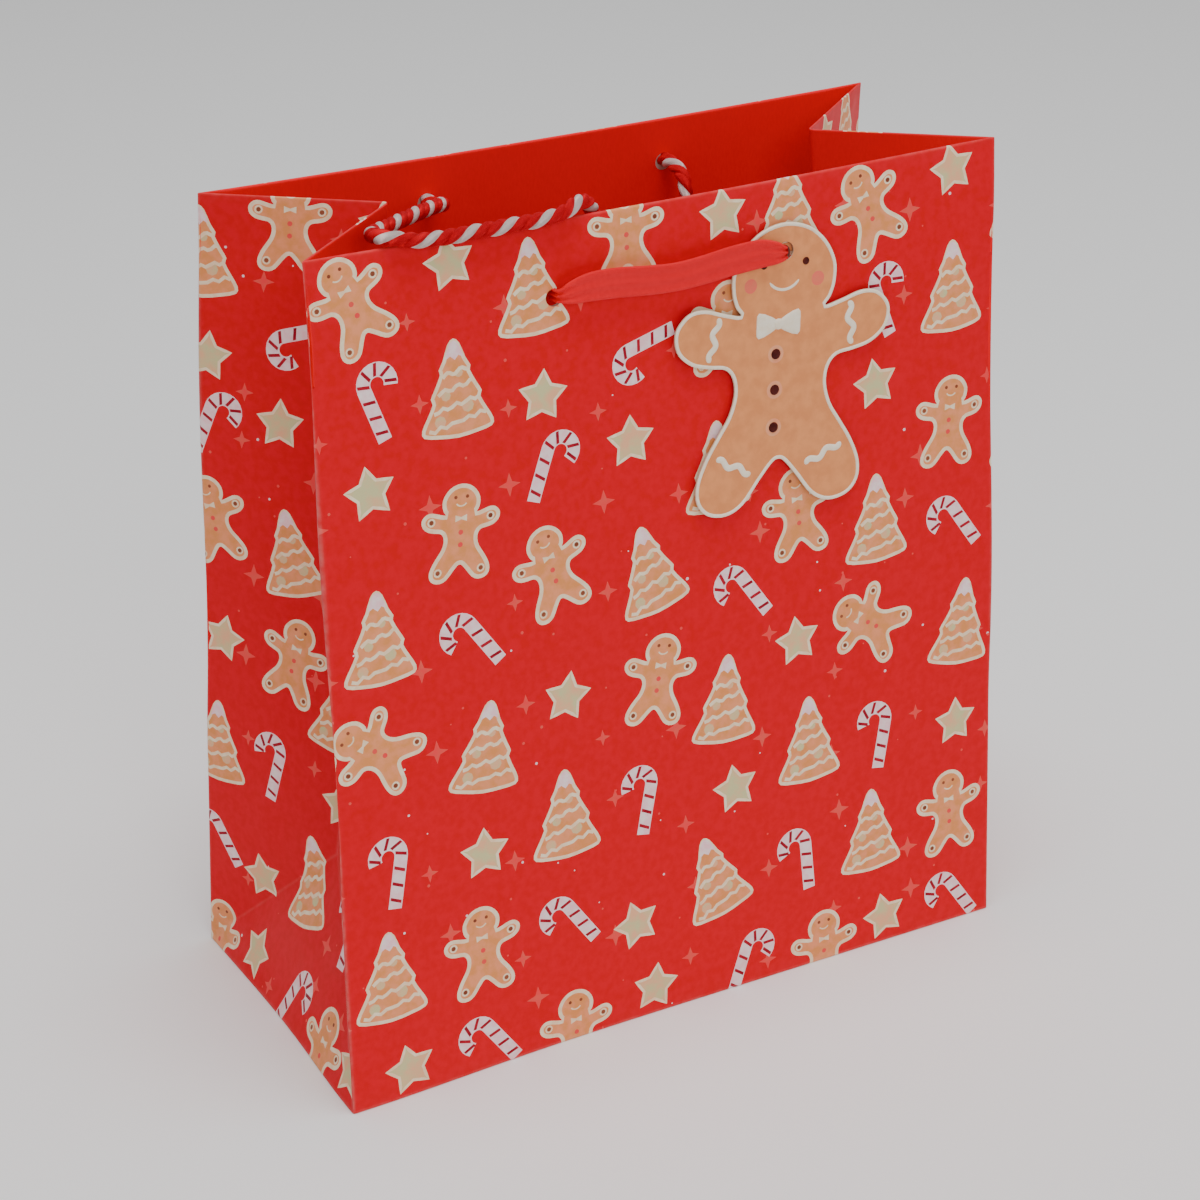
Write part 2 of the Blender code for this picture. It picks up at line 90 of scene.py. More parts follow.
# Cord handles: three plies, and the flat bars at their ends
CORD_RADIUS = 0.00225
CORD_DEEPER = 0.0008
TWIST_PITCH = 0.0118
PLY_GROOVE = 0.30
PLY_SIDES = 12
YARN_SLANT = 0.9
ROPE_RINGS = 600
BACK_PHASE = 0.4
BAR_MIDDLE = 0.045
BAR_ROUND = 0.0035
BAR_REACH = 0.004
BAR_GAP = 0.0004
BAR_HALF_THICKNESS = 0.00027
BAR_SIDES = 28

# Ribbon and knots. A knot's tail hangs from its middle: right, behind it and up.
RIBBON_THICKNESS = 0.00025
RIBBON_RINGS = 170
STRIP_COLUMNS = 15
FLAT_RIPPLE = 0.00010
GATHERED_RIPPLE = 0.00042
KNOT_BEHIND = 0.0051
KNOT_SCALE = 0.00088
KNOT_RINGS = 120
KNOT_SIDES = 10
KNOT_STRAND = (0.0006, 0.0011)
KNOT_MAP_STEP = 0.25
TAIL_DROP = [
    (0, 0.0006, -0.001),
    (0.0006, 0.0012, -0.005),
    (0.0012, 0.0010, -0.009),
    (0.0010, 0.0014, -0.0135),
]
TAIL_RINGS = 24
TAIL_RIPPLE = 0.0003
TAIL_HALF_WIDTHS = (0.0014, 0.0030)

# Side flaps and board
SIDE_FLAP_TAPER = 0.032
FLAP_CORNER = 0.003
BOARD_CORNER = 0.004

# Gift tag, in millimetres from its hole, and how far its faces stand out from the wall in metres
TAG_TILT = 3.5
TAG_HOLE = 2.8
TAG_BORDER = 1.1
TAG_BACK = 0.0010
TAG_FACE = 0.0015
ICING_SUNK = 0.00003
TAG_BOW = (-1.5, -21.5)
BOW_WING = ((0.4, 1.2), (6.8, 3.9), (7.6, 0), (6.8, -3.9), (0.4, -1.2))
TAG_CUFFS = (((22.6, -17.4), (24.8, -30.2), 0.9), ((9.6, -65.6), (21.8, -60.2), 0.8))
TAG_BUTTONS = ((-2, -30.5), (-2, -41.3), (-2, -52.7))
TAG_EYES = ((-7.2, -3.6), (7.2, -3.6))
TAG_CHEEKS = ((-11.6, -9.2), (11.6, -9.2))

# The back handle lies forward across the mouth and over the front rim, and dips back into the bag. x, y
# and the height above the rim.
BACK_HANDLE_ROUTE = [
    (-0.0410, 0.0354, -0.0140),
    (-0.0410, 0.0300, -0.0136),
    (-0.0425, 0.0228, -0.0115),
    (-0.0465, 0.0145, -0.0086),
    (-0.0535, 0.0065, -0.0061),
    (-0.0615, -0.0012, -0.0043),
    (-0.0695, -0.0078, -0.0031),
    (-0.0775, -0.0142, -0.0021),
    (-0.0848, -0.0206, -0.0008),
    (-0.0888, -0.0275, 0.0010),
    (-0.0895, -0.0333, 0.0023),
    (-0.0862, -0.0372, 0.0021),
    (-0.0785, -0.0384, 0.0008),
    (-0.0690, -0.0384, 0.0005),
    (-0.0585, -0.0383, 0.0005),
    (-0.0490, -0.0382, 0.0005),
    (-0.0405, -0.0381, 0.0006),
    (-0.0350, -0.0377, 0.0012),
    (-0.0300, -0.0358, 0.0024),
    (-0.0248, -0.0322, 0.0012),
    (-0.0203, -0.0285, -0.0036),
    (-0.0148, -0.0235, -0.0118),
    (-0.0080, -0.0173, -0.0216),
    (0.0000, -0.0105, -0.0314),
    (0.0100, -0.0015, -0.0395),
    (0.0205, 0.0075, -0.0430),
    (0.0300, 0.0145, -0.0405),
    (0.0368, 0.0192, -0.0335),
    (0.0403, 0.0212, -0.0245),
    (0.0410, 0.0238, -0.0168),
    (0.0410, 0.0305, -0.0140),
    (0.0410, 0.0354, -0.0140),
]

# The left half of the front handle, which hangs inside the bag. x, y and the height above the rim.
FRONT_HANDLE_HALF = [
    (-0.0410, -0.0354, -0.0140),
    (-0.0410, -0.0305, -0.0140),
    (-0.0410, -0.0240, -0.0167),
    (-0.0409, -0.0213, -0.0232),
    (-0.0408, -0.0212, -0.0320),
    (-0.0405, -0.0212, -0.0500),
    (-0.0400, -0.0212, -0.0700),
    (-0.0372, -0.0211, -0.0880),
    (-0.0295, -0.0211, -0.1045),
    (-0.0165, -0.0211, -0.1152),
    (0.0000, -0.0211, -0.1190),
]

# The left half of the ribbon: x, the distance in front of the wall, the height above the rim, half its width.
RIBBON_HALF = [
    (-0.0380, -0.0021, -0.0220, 0.0018),
    (-0.0380, 0.0014, -0.0220, 0.0018),
    (-0.0371, 0.0027, -0.0218, 0.0021),
    (-0.0340, 0.0033, -0.0212, 0.0033),
    (-0.0280, 0.0036, -0.0205, 0.0042),
    (-0.0185, 0.0037, -0.0209, 0.0044),
    (-0.0090, 0.0037, -0.0219, 0.0043),
    (0.0000, 0.0037, -0.0224, 0.0042),
]

# How the standing bag differs from a perfectly even one
MOUTH_SHIFT = 0.002
CORNER_PUSH = 0.0035

# How the handled paper differs from a flat one
CORNER_EASE = (0.002, 0.012)
WALL_BOW = 0.0005
WALL_WAVES = ((0.00016, 97, 31, 0.4), (0.00012, 61, -83, 1.3), (0.00008, 23, 173, 0.0))
GUSSET_WAVE = 0.0006
FRONT_SAG = 0.0012
BACK_SAG = 0.0008
FLAP_LAP = 0.00045

# Wear of the ink on the base's edge, the wall corners, the rim and the gusset's slanting creases
WEAR_WIDTH = 0.0007
BASE_WEAR = 0.6
CORNER_WEAR = 0.7
RIM_WEAR = 0.25
SLANT_WEAR = 0.15
CREASE_WEAR = 0.35

# Printed sheet: the drawing's point spacings, and how close to a hole's edge the paper stays, as a share
GRID_SPACING = 7.0
GRID_JITTER = 0.9
LINE_SPACING = 6.0
CARD_SPACING = 6
HOLE_SHARE = 0.97
SHEET_SHARP = 50

# Colours as red, green and blue from 0 to 255. Each material mixes its two.
PAPER_CORE = (244, 226, 214)
COLOURS = {
    "ink_red": ((222, 0, 22), (229, 1, 33)),
    "ink_icing": ((255, 236, 204), (250, 216, 178)),
    "ink_cookie": ((236, 150, 88), (250, 158, 112)),
    "ink_leaf": ((244, 184, 142), (214, 206, 154)),
    "ink_candy": ((255, 232, 232), (255, 206, 212)),
    "ink_stripe": ((150, 16, 38), (186, 24, 46)),
    "ink_sparkle": ((250, 66, 70), (240, 88, 78)),
    "ink_dot": ((130, 66, 46), (156, 86, 60)),
    "inside_red": ((255, 0, 30), (250, 0, 24)),
    "flap_red": ((255, 0, 30), (250, 0, 24)),
    "paper_edge": ((236, 150, 140), (214, 90, 88)),
    "grey_board": ((172, 160, 142), (110, 98, 84)),
    "bar_plastic": ((214, 200, 190), (196, 182, 170)),
    # red_yarn and white_yarn: the first colour is painted shade for the hollows between the yarns, and the
    # second is the yarn's own colour.
    "red_yarn": ((214, 0, 20), (255, 0, 34)),
    "white_yarn": ((250, 206, 200), (255, 244, 238)),
    "ribbon_satin": ((246, 0, 24), (255, 0, 32)),
    "tag_cookie": ((244, 158, 100), (232, 146, 92)),
    "tag_border": ((255, 244, 222), (250, 232, 204)),
    "tag_blush": ((250, 112, 96), (242, 124, 98)),
    "tag_ring": ((250, 160, 120), (246, 172, 130)),
    "tag_back": ((190, 150, 112), (168, 128, 92)),
    "tag_edge": ((226, 204, 176), (206, 180, 150)),
    "piped_icing": ((255, 244, 224), (250, 234, 208)),
    "dark_icing": ((92, 34, 28), (70, 24, 22)),
}

# Camera, floor and light. Each light is its name, place, size and power.
CAMERA_AZIMUTH = -29.25
CAMERA_ELEVATION = 24.75
CAMERA_ROLL = -0.55
CAMERA_DISTANCE = 0.9648
CAMERA_TARGET = Vector((-0.0013, 0, 0.1155))
CAMERA_LENS = 93.2
FLOOR_REACH = 3.0
FLOOR_COLOUR = (0.97, 0.97, 0.97, 1)
WORLD_STRENGTH = 0.40
LIGHT_TARGET = Vector((0, 0, 0.12))
LIGHTS = [
    ("key", (-0.4, -1.7, 1.2), 0.8, 7.0),
    ("fill", (1.5, -1.0, 0.9), 1.2, 2.0),
    ("top", (0.0, -0.2, 1.9), 1.2, 25.0),
]


# ---------------------------------------------------------------- camera
def add_camera():
    azimuth, elevation, roll = (math.radians(v) for v in (CAMERA_AZIMUTH, CAMERA_ELEVATION, CAMERA_ROLL))
    level = math.cos(elevation)
    forward = Vector((-math.sin(azimuth) * level, math.cos(azimuth) * level, -math.sin(elevation)))
    right = forward.cross(Vector((0, 0, 1))).normalized()
    up = right.cross(forward)
    tilted_right = right * math.cos(roll) + up * math.sin(roll)
    tilted_up = up * math.cos(roll) - right * math.sin(roll)
    turn = Matrix((tilted_right, tilted_up, -forward)).transposed().to_4x4()
    camera = bpy.data.objects.new("camera", bpy.data.cameras.new("camera"))
    camera.data.lens = CAMERA_LENS
    camera.data.sensor_width = 36
    camera.matrix_world = Matrix.Translation(CAMERA_TARGET - forward * CAMERA_DISTANCE) @ turn
    bpy.context.scene.collection.objects.link(camera)
    bpy.context.scene.camera = camera


add_camera()


# ---------------------------------------------------------------- materials
def srgb(red, green, blue):
    """A linear colour from 0-255 display values."""
    values = []
    for value in (red, green, blue):
        share = value / 255
        values.append(share / 12.92 if share <= 0.04045 else ((share + 0.055) / 1.055) ** 2.4)
    return (*values, 1.0)


class Nodes:
    """A material under construction, with short calls for the nodes that these materials share."""

    def __init__(self, name):
        self.material = bpy.data.materials.new(name)
        self.material.use_nodes = True
        self.tree = self.material.node_tree
        self.shader = self.tree.nodes["Principled BSDF"]
        self.place = self.add("ShaderNodeTexCoord").outputs["Object"]
        self.name = name

    def add(self, kind, **settings):
        node = self.tree.nodes.new(kind)
        for key, value in settings.items():
            setattr(node, key, value)
        return node

    def link(self, source, target):
        self.tree.links.new(source, target)

    def noise(self, scale, detail=2.0, source=None):
        node = self.add("ShaderNodeTexNoise")
        node.inputs["Scale"].default_value = scale
        node.inputs["Detail"].default_value = detail
        self.link(source or self.place, node.inputs["Vector"])
        return node.outputs["Fac"]

    def ramp(self, source, low, high, start=0.0, end=1.0):
        """Maps source from low..high to start..end, held inside that span."""
        node = self.add("ShaderNodeMapRange")
        node.inputs["From Min"].default_value = low
        node.inputs["From Max"].default_value = high
        node.inputs["To Min"].default_value = start
        node.inputs["To Max"].default_value = end
        self.link(source, node.inputs["Value"])
        return node.outputs["Result"]

    def math(self, operation, first, second):
        node = self.add("ShaderNodeMath", operation=operation)
        for socket, value in zip(node.inputs, (first, second)):
            if isinstance(value, (int, float)):
                socket.default_value = value
            else:
                self.link(value, socket)
        return node.outputs[0]

    def blend(self, share, first, second):
        node = self.add("ShaderNodeMix", data_type="RGBA")
        self.link(share, node.inputs["Factor"])
        for socket, value in zip((node.inputs[6], node.inputs[7]), (first, second)):
            if isinstance(value, tuple):
                socket.default_value = value
            else:
                self.link(value, socket)
        return node.outputs[2]

    def mottle(self, source, low, high):
        """The material's two colours, mixed by where source stands between low and high."""
        first, second = COLOURS[self.name]
        return self.blend(self.ramp(source, low, high), srgb(*first), srgb(*second))

    def roughness(self, source, low, high, smooth, rough):
        self.link(self.ramp(source, low, high, smooth, rough), self.shader.inputs["Roughness"])

    def threads(self, direction, scale, distortion):
        """Fine parallel threads in the piece's own map."""
        node = self.add("ShaderNodeTexWave", bands_direction=direction)
        node.inputs["Scale"].default_value = scale
        node.inputs["Distortion"].default_value = distortion
        self.link(self.add("ShaderNodeUVMap").outputs["UV"], node.inputs["Vector"])
        return node.outputs["Fac"]

    def bump(self, height, distance, below=None):
        node = self.add("ShaderNodeBump")
        node.inputs["Distance"].default_value = distance
        self.link(height, node.inputs["Height"])
        if below:
            self.link(below, node.inputs["Normal"])
        return node.outputs["Normal"]

    def finish(self, colour, normal, **values):
        """Gives the shader its colour and normal, and the values that are the same all over."""
        self.link(colour, self.shader.inputs["Base Color"])
        self.link(normal, self.shader.inputs["Normal"])
        for key, value in values.items():
            self.shader.inputs[key.replace("_", " ")].default_value = value
        return self.material


def ink(name, roughness=(0.34, 0.48), mottle_scale=420.0, worn=True, gloss=0.08):
    """Printed gloss paper: a mottled ink over paper fibres, worn through to the pale core on creases."""
    nodes = Nodes(name)
    tint = nodes.mottle(nodes.noise(mottle_scale, 3.0), 0.36, 0.64)
    if worn:
        crease = nodes.add("ShaderNodeAttribute", attribute_name="crease").outputs["Fac"]
        scuff = nodes.ramp(nodes.noise(350.0, 3.0), 0.3, 0.75, 0.25, 1.0)
        share = nodes.math("MULTIPLY", nodes.math("MULTIPLY", crease, scuff), CREASE_WEAR)
        tint = nodes.blend(share, tint, srgb(*PAPER_CORE))
    nodes.roughness(nodes.noise(60.0), 0.35, 0.65, *roughness)
    fibres = nodes.bump(nodes.noise(2400.0, 3.0), 0.00002)
    waves = nodes.bump(nodes.noise(130.0, 1.0), 0.00012, fibres)
    return nodes.finish(tint, waves, Specular_IOR_Level=gloss)


def bare_paper(name):
    """The sleeve's unprinted side: plain coloured paper without gloss, with visible fibres."""
    nodes = Nodes(name)
    stretched = nodes.add("ShaderNodeMapping")
    stretched.inputs["Scale"].default_value = (1.0, 1.0, 0.35)
    nodes.link(nodes.place, stretched.inputs["Vector"])
    fibre = nodes.noise(1500.0, 4.0, stretched.outputs["Vector"])
    nodes.roughness(nodes.noise(80.0), 0.35, 0.65, 0.50, 0.66)
    return nodes.finish(nodes.mottle(fibre, 0.3, 0.7), nodes.bump(fibre, 0.00003), Specular_IOR_Level=0.15)


def board(name):
    """Recycled board: a pulpy colour with scattered darker flecks."""
    nodes = Nodes(name)
    colour, flecks = COLOURS[name]
    pulp = nodes.noise(700.0, 4.0)
    fleck = nodes.ramp(nodes.noise(1900.0, 2.0), 0.66, 0.72)
    base = nodes.blend(nodes.ramp(pulp, 0.3, 0.7), srgb(*colour), srgb(*[v * 0.88 for v in colour]))
    nodes.roughness(pulp, 0.3, 0.7, 0.78, 0.94)
    return nodes.finish(nodes.blend(fleck, base, srgb(*flecks)), nodes.bump(pulp, 0.00005))


def yarn(name):
    """One ply of a twisted cord: fine yarns that wind round it, drawn from the cord's own map. Its colour
    carries painted shade: darker in the hollows between the yarns, with some random tone from the fuzz.
    """
    nodes = Nodes(name)
    strands = nodes.threads("X", 9.0, 0.6)
    fuzz = nodes.noise(3000.0, 3.0)
    groove = nodes.math("ADD", nodes.math("MULTIPLY", strands, 0.8), nodes.math("MULTIPLY", fuzz, 0.5))
    nodes.roughness(fuzz, 0.3, 0.7, 0.5, 0.72)
    # The colour follows the groove height, so the hollows between the yarns get the darker first colour,
    # which is painted shade.
    return nodes.finish(nodes.mottle(groove, 0.1, 1.0), nodes.bump(groove, 0.00009), Specular_IOR_Level=0.12)


def satin(name):
    """Satin ribbon: fine threads along its length and a soft sheen that runs across them."""
    nodes = Nodes(name)
    weft = nodes.threads("Y", 22.0, 0.3)
    tint = nodes.mottle(nodes.noise(900.0, 3.0), 0.3, 0.7)
    nodes.roughness(weft, 0.0, 1.0, 0.28, 0.42)
    return nodes.finish(tint, nodes.bump(weft, 0.00002), Anisotropic=0.6, Specular_IOR_Level=0.22)


INK_NAMES = ("ground", "icing", "cookie", "leaf", "candy", "stripe", "sparkle", "dot", "inside", "edge")
INKS = {name: index for index, name in enumerate(INK_NAMES)}


def sleeve_materials():
    """The sleeve's materials, in the order of INK_NAMES."""
    return [
        ink("ink_red"),
        ink("ink_icing"),
        ink("ink_cookie", mottle_scale=300.0),
        ink("ink_leaf", mottle_scale=200.0),
        ink("ink_candy"),
        ink("ink_stripe"),
        ink("ink_sparkle"),
        ink("ink_dot"),
        bare_paper("inside_red"),
        bare_paper("paper_edge"),
    ]


# ---------------------------------------------------------------- meshes
def add_mesh(name, vertices, faces, materials, indices=None, smooth=True, map_points=None):
    """A mesh object. map_points gives each vertex a place in the surface's own map."""
    mesh = bpy.data.meshes.new(name)
    mesh.from_pydata([tuple(v) for v in vertices], [], faces)
    for material in materials:
        mesh.materials.append(material)
    if indices is not None:
        mesh.polygons.foreach_set("material_index", indices)
    mesh.polygons.foreach_set("use_smooth", [smooth] * len(mesh.polygons))
    if map_points is not None:
        layer = mesh.uv_layers.new(name="map")
        for loop in mesh.loops:
            layer.data[loop.index].uv = map_points[loop.vertex_index]
    mesh.update()
    piece = bpy.data.objects.new(name, mesh)
    bpy.context.scene.collection.objects.link(piece)
    return piece


def sharpen(piece, degrees):
    piece.data.set_sharp_from_angle(angle=math.radians(degrees))


def unit(rows):
    """Each row as a vector of length 1."""
    return rows / np.linalg.norm(rows, axis=1)[:, None]


def ring_faces(rings, count, closed=False):
    """Faces between rings of count points, which follow one another in the list of vertices."""
    faces = []
    for ring in range(rings if closed else rings - 1):
        start = ring * count
        after = (ring + 1) % rings * count
        for i in range(count):
            j = (i + 1) % count
            faces.append([start + i, start + j, after + j, after + i])
    return faces


def tube_faces(rings, count):
    """The faces between rings of count points, and then one over each end."""
    last = (rings - 1) * count
    return ring_faces(rings, count) + [list(range(count))[::-1], list(range(last, last + count))]


def flipped(faces):
    return [face[::-1] for face in faces]


def declare(piece, body, slot, *replaced):
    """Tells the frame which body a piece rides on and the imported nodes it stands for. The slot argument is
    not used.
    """
    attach(piece, body)
    if replaced:
        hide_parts(*replaced)


def settle(points):
    """Moves points from an evenly shaped bag to the standing one, whose mouth and corner have shifted."""
    points = np.array(points, dtype=float)
    rise = points[:, 2] / HEIGHT
    corner = np.exp(-(((points[:, 0] + WIDTH / 2) / 0.05) ** 2) - ((points[:, 1] + DEPTH / 2) / 0.04) ** 2)
    push = CORNER_PUSH * corner * np.clip(1 - rise, 0, 1) ** 2
    points[:, 0] += MOUTH_SHIFT * (2 * rise - 1) - push
    points[:, 1] -= push
    return points


def half_depth(z):
    return DEPTH / 2 - (DEPTH - MOUTH_DEPTH) / 2 * z / HEIGHT


# ---------------------------------------------------------------- the folded sleeve
def sharp_outline(u, z):
    """Where the distance u round the sleeve lies at height z, with sharp corners and creases."""
    u = np.mod(u, GIRTH)
    half = half_depth(z)
    share = np.clip(z / TIP_HEIGHT, 0, 1)
    above = np.clip((z - TIP_HEIGHT) / (HEIGHT - TIP_HEIGHT), 0, 1)
    fold = TIP_FOLD * share + (MOUTH_FOLD - TIP_FOLD) * above
    run = DEPTH / 2 * share
    tri = DEPTH / 2 * (1 - share)
    side = WIDTH / 2
    zero = np.zeros_like(z)
    stations = [
        (zero, zero - side, half),
        (run, fold - side, tri),
        (FRONT_LEFT - run, fold - side, -tri),
        (zero + FRONT_LEFT, zero - side, -half),
        (zero + FRONT_RIGHT, zero + side, -half),
        (FRONT_RIGHT + run, side - fold, -tri),
        (BACK_RIGHT - run, side - fold, tri),
        (zero + BACK_RIGHT, zero + side, half),
        (zero + GIRTH, zero - side, half),
    ]
    x, y = np.zeros_like(z), np.zeros_like(z)
    for (u0, x0, y0), (u1, x1, y1) in zip(stations, stations[1:]):
        inside = (u >= u0) & (u <= u1)
        part = np.where(inside, (u - u0) / np.maximum(u1 - u0, 1e-9), 0)
        x = np.where(inside, x0 + (x1 - x0) * part, x)
        y = np.where(inside, y0 + (y1 - y0) * part, y)
    return x, y


def outline(u, z):
    """The sleeve's outline with its corners and creases rounded."""
    x, y = 0, 0
    for step, weight in ((-1, 0.125), (-0.5, 0.25), (0, 0.25), (0.5, 0.25), (1, 0.125)):
        sharp_x, sharp_y = sharp_outline(u + step * CORNER_ROUND, z)
        x = x + sharp_x * weight
        y = y + sharp_y * weight
    return x, y


def smooth_step(values, low, high):
    share = np.clip((values - low) / (high - low), 0, 1)
    return share * share * (3 - 2 * share)


def on_wall(u):
    """1 on the front and back walls, easing to 0 at their corners and on the gussets."""
    near, far = CORNER_EASE
    total = 0
    for start, end in ((FRONT_LEFT, FRONT_RIGHT), (BACK_RIGHT, GIRTH)):
        rise = smooth_step(u, start + near, start + far)
        total = total + rise * (1 - smooth_step(u, end - far, end - near))
    return total


def fold_radius(u):
    return GUSSET_FOLD_RADIUS + (FOLD_RADIUS - GUSSET_FOLD_RADIUS) * on_wall(u)


def fold_profile(u, v, t):
    """Height and depth behind the printed face, at flat height v and depth t into the paper."""
    radius = fold_radius(u)
    start = HEIGHT - radius
    end = start + math.pi * radius
    angle = np.clip((v - start) / radius, 0, math.pi)
    z = np.where(v <= start, v, start + (radius - t) * np.sin(angle))
    depth = t + (radius - t) * (1 - np.cos(angle))
    z = np.where(v > end, start - (v - end), z)
    turn = np.clip((BASE_ROUND - v) / (2 * BASE_ROUND), 0, 1)
    bend = 2 * turn * (1 - turn) * t
    near_base = v < BASE_ROUND
    z = np.where(near_base, (1 - turn) ** 2 * BASE_ROUND + bend + turn**2 * t, z)
    depth = np.where(near_base, (1 - turn) ** 2 * t + bend + turn**2 * BASE_ROUND, depth)
    depth = np.where(v < -BASE_ROUND, -v, depth)
    return z, depth


def relief(u, v):
    """How far the paper stands out from its flat face: a slight bow and the soft waves of handled paper."""
    inside = on_wall(u) * smooth_step(v, 0.004, 0.03) * (1 - smooth_step(v, HEIGHT - 0.04, HEIGHT - 0.006))
    bow = WALL_BOW * np.sin(math.pi * np.clip(v / HEIGHT, 0, 1))
    waves = sum(size * np.sin(across * u + up * v + phase) for size, across, up, phase in WALL_WAVES)
    gusset = (1 - on_wall(u)) * smooth_step(v, 0.06, 0.1) * (1 - smooth_step(v, HEIGHT - 0.03, HEIGHT))
    crease_away = np.minimum(np.abs(np.mod(u, BACK_RIGHT - DEPTH) - DEPTH / 2) / 0.02, 1)
    return inside * (bow + waves) + gusset * crease_away * GUSSET_WAVE * np.sin(41 * v + 9 * u)


def rim_sag(u, z):
    """The mouth's edges dip slightly between their corners."""
    front = np.clip((u - FRONT_LEFT) / WIDTH, 0, 1)
    back = np.clip((u - BACK_RIGHT) / WIDTH, 0, 1)
    near_top = smooth_step(z, HEIGHT - 0.12, HEIGHT)
    return near_top * (FRONT_SAG * np.sin(math.pi * front) + BACK_SAG * np.sin(math.pi * back))


def sleeve_points(u, v, t):
    """Places flat sleeve points, t deep into the paper, on the folded bag."""
    z, depth = fold_profile(u, v, t)
    level = np.clip(z, 0, HEIGHT)
    x, y = outline(u, level)
    step = 0.0002
    next_x, next_y = outline(u + step, level)
    last_x, last_y = outline(u - step, level)
    length = np.hypot(next_x - last_x, next_y - last_y)
    in_x, in_y = -(next_y - last_y) / length, (next_x - last_x) / length
    depth = depth - relief(u, np.minimum(v, 2 * HEIGHT - v)) * (v > 0)
    lap = (v < 0) * (u > BACK_RIGHT) * smooth_step(-v, 0.024, 0.033) * FLAP_LAP
    places = np.stack([x + in_x * depth, y + in_y * depth, z + lap - rim_sag(u, z)], axis=1)
    return settle(places)


def crease_wear(u, v):
    """How worn the ink is: most on the corners and the base's edge, less on the slanting creases."""
    def near(distance):
        return np.exp(-((distance / WEAR_WIDTH) ** 2))

    wear = np.zeros_like(u)
    for corner in (0, FRONT_LEFT, FRONT_RIGHT, BACK_RIGHT, GIRTH):
        wear = np.maximum(wear, CORNER_WEAR * near(u - corner))
    slant = DEPTH / 2 * np.clip(v / TIP_HEIGHT, 0, 1)
    for start in (0, FRONT_RIGHT):
        for line in (start + slant, start + DEPTH - slant):
            wear = np.maximum(wear, SLANT_WEAR * near(u - line))
    wear = np.maximum(wear, RIM_WEAR * near(v - HEIGHT - 0.0002))
    return np.maximum(wear, BASE_WEAR * near(v))


# ---------------------------------------------------------------- flat drawing
class Drawing:
    """Flat shapes in millimetres, each in an ink, where a later shape lies over an earlier one."""

    def __init__(self):
        self.points = []
        self.edges = []
        self.faces = []
        self.inks = []

    def add_points(self, points):
        first = len(self.points)
        self.points.extend(Vector(p) for p in points)
        return list(range(first, len(self.points)))

    def add_line(self, points):
        indices = self.add_points(points)
        self.edges.extend(zip(indices, indices[1:]))

    def add_shape(self, points, ink_name):
        if signed_area(points) < 0:
            points = list(reversed(points))
        self.faces.append(self.add_points(points))
        self.inks.append(INKS.get(ink_name))

    def triangles(self, keep, plain=None):
        """Points, triangles and their inks. keep and plain pick triangles: to stay, and to be unprinted."""
        result = delaunay_2d_cdt(self.points, self.edges, self.faces, 0, 1e-4, True)
        points = np.array([tuple(p) for p in result[0]])
        faces = np.array([tuple(f) for f in result[2]])
        top = np.array([max(sources, default=-1) for sources in result[5]])
        inks = np.array(self.inks + [INKS["ground"]])[top]
        centres = points[faces].mean(axis=1)
        if plain:
            inks = np.where(plain(centres), INKS["inside"], inks)
        kept = keep(centres)
        return points, faces[kept], inks[kept]

    def add_ring(self, points):
        """A closed line."""
        self.add_line(points + points[:1])


def signed_area(points):
    return sum(a[0] * b[1] - b[0] * a[1] for a, b in zip(points, points[1:] + points[:1])) / 2


def circle(centre, radius, sides=16):
    angles = [2 * math.pi * i / sides for i in range(sides)]
    return [(centre[0] + radius * math.cos(a), centre[1] + radius * math.sin(a)) for a in angles]


def spread_line(start, end, spacing):
    count = max(1, math.ceil(math.dist(start, end) / spacing))
    return [tuple(a + (b - a) * i / count for a, b in zip(start, end)) for i in range(count + 1)]


def rounded(points, steps=3, closed=True):
    """A Catmull-Rom curve through the points, each as a tuple of any length."""
    count = len(points)
    result = []
    for i in range(count if closed else count - 1):
        if closed:
            near = [points[(i + k) % count] for k in (-1, 0, 1, 2)]
        else:
            near = [points[min(max(i + k, 0), count - 1)] for k in (-1, 0, 1, 2)]
        for step in range(steps):
            result.append(tuple(catmull_rom(*values, step / steps) for values in zip(*near)))
    if not closed:
        result.append(tuple(points[-1]))
    return result


def catmull_rom(p0, p1, p2, p3, t):
    square = 2 * p0 - 5 * p1 + 4 * p2 - p3
    cube = 3 * p1 - p0 - 3 * p2 + p3
    return 0.5 * (2 * p1 + (p2 - p0) * t + square * t**2 + cube * t**3)


def inset(points, distance):
    """Moves each point of a closed outline inwards, square to the outline."""
    if signed_area(points) < 0:
        points = list(reversed(points))
    count = len(points)
    moved = []
    for i in range(count):
        before, here, after = (Vector(points[(i + k) % count]) for k in (-1, 0, 1))
        along = (after - before).normalized()
        moved.append((here.x - along.y * distance, here.y + along.x * distance))
    return moved


def stroke(line, width):
    """The outline of a line drawn with a pen of that width."""
    left, right = [], []
    for i, here in enumerate(line):
        along = Vector(line[min(i + 1, len(line) - 1)]) - Vector(line[max(i - 1, 0)])
        along.normalize()
        left.append((here[0] - along.y * width / 2, here[1] + along.x * width / 2))
        right.append((here[0] + along.y * width / 2, here[1] - along.x * width / 2))
    return left + list(reversed(right))


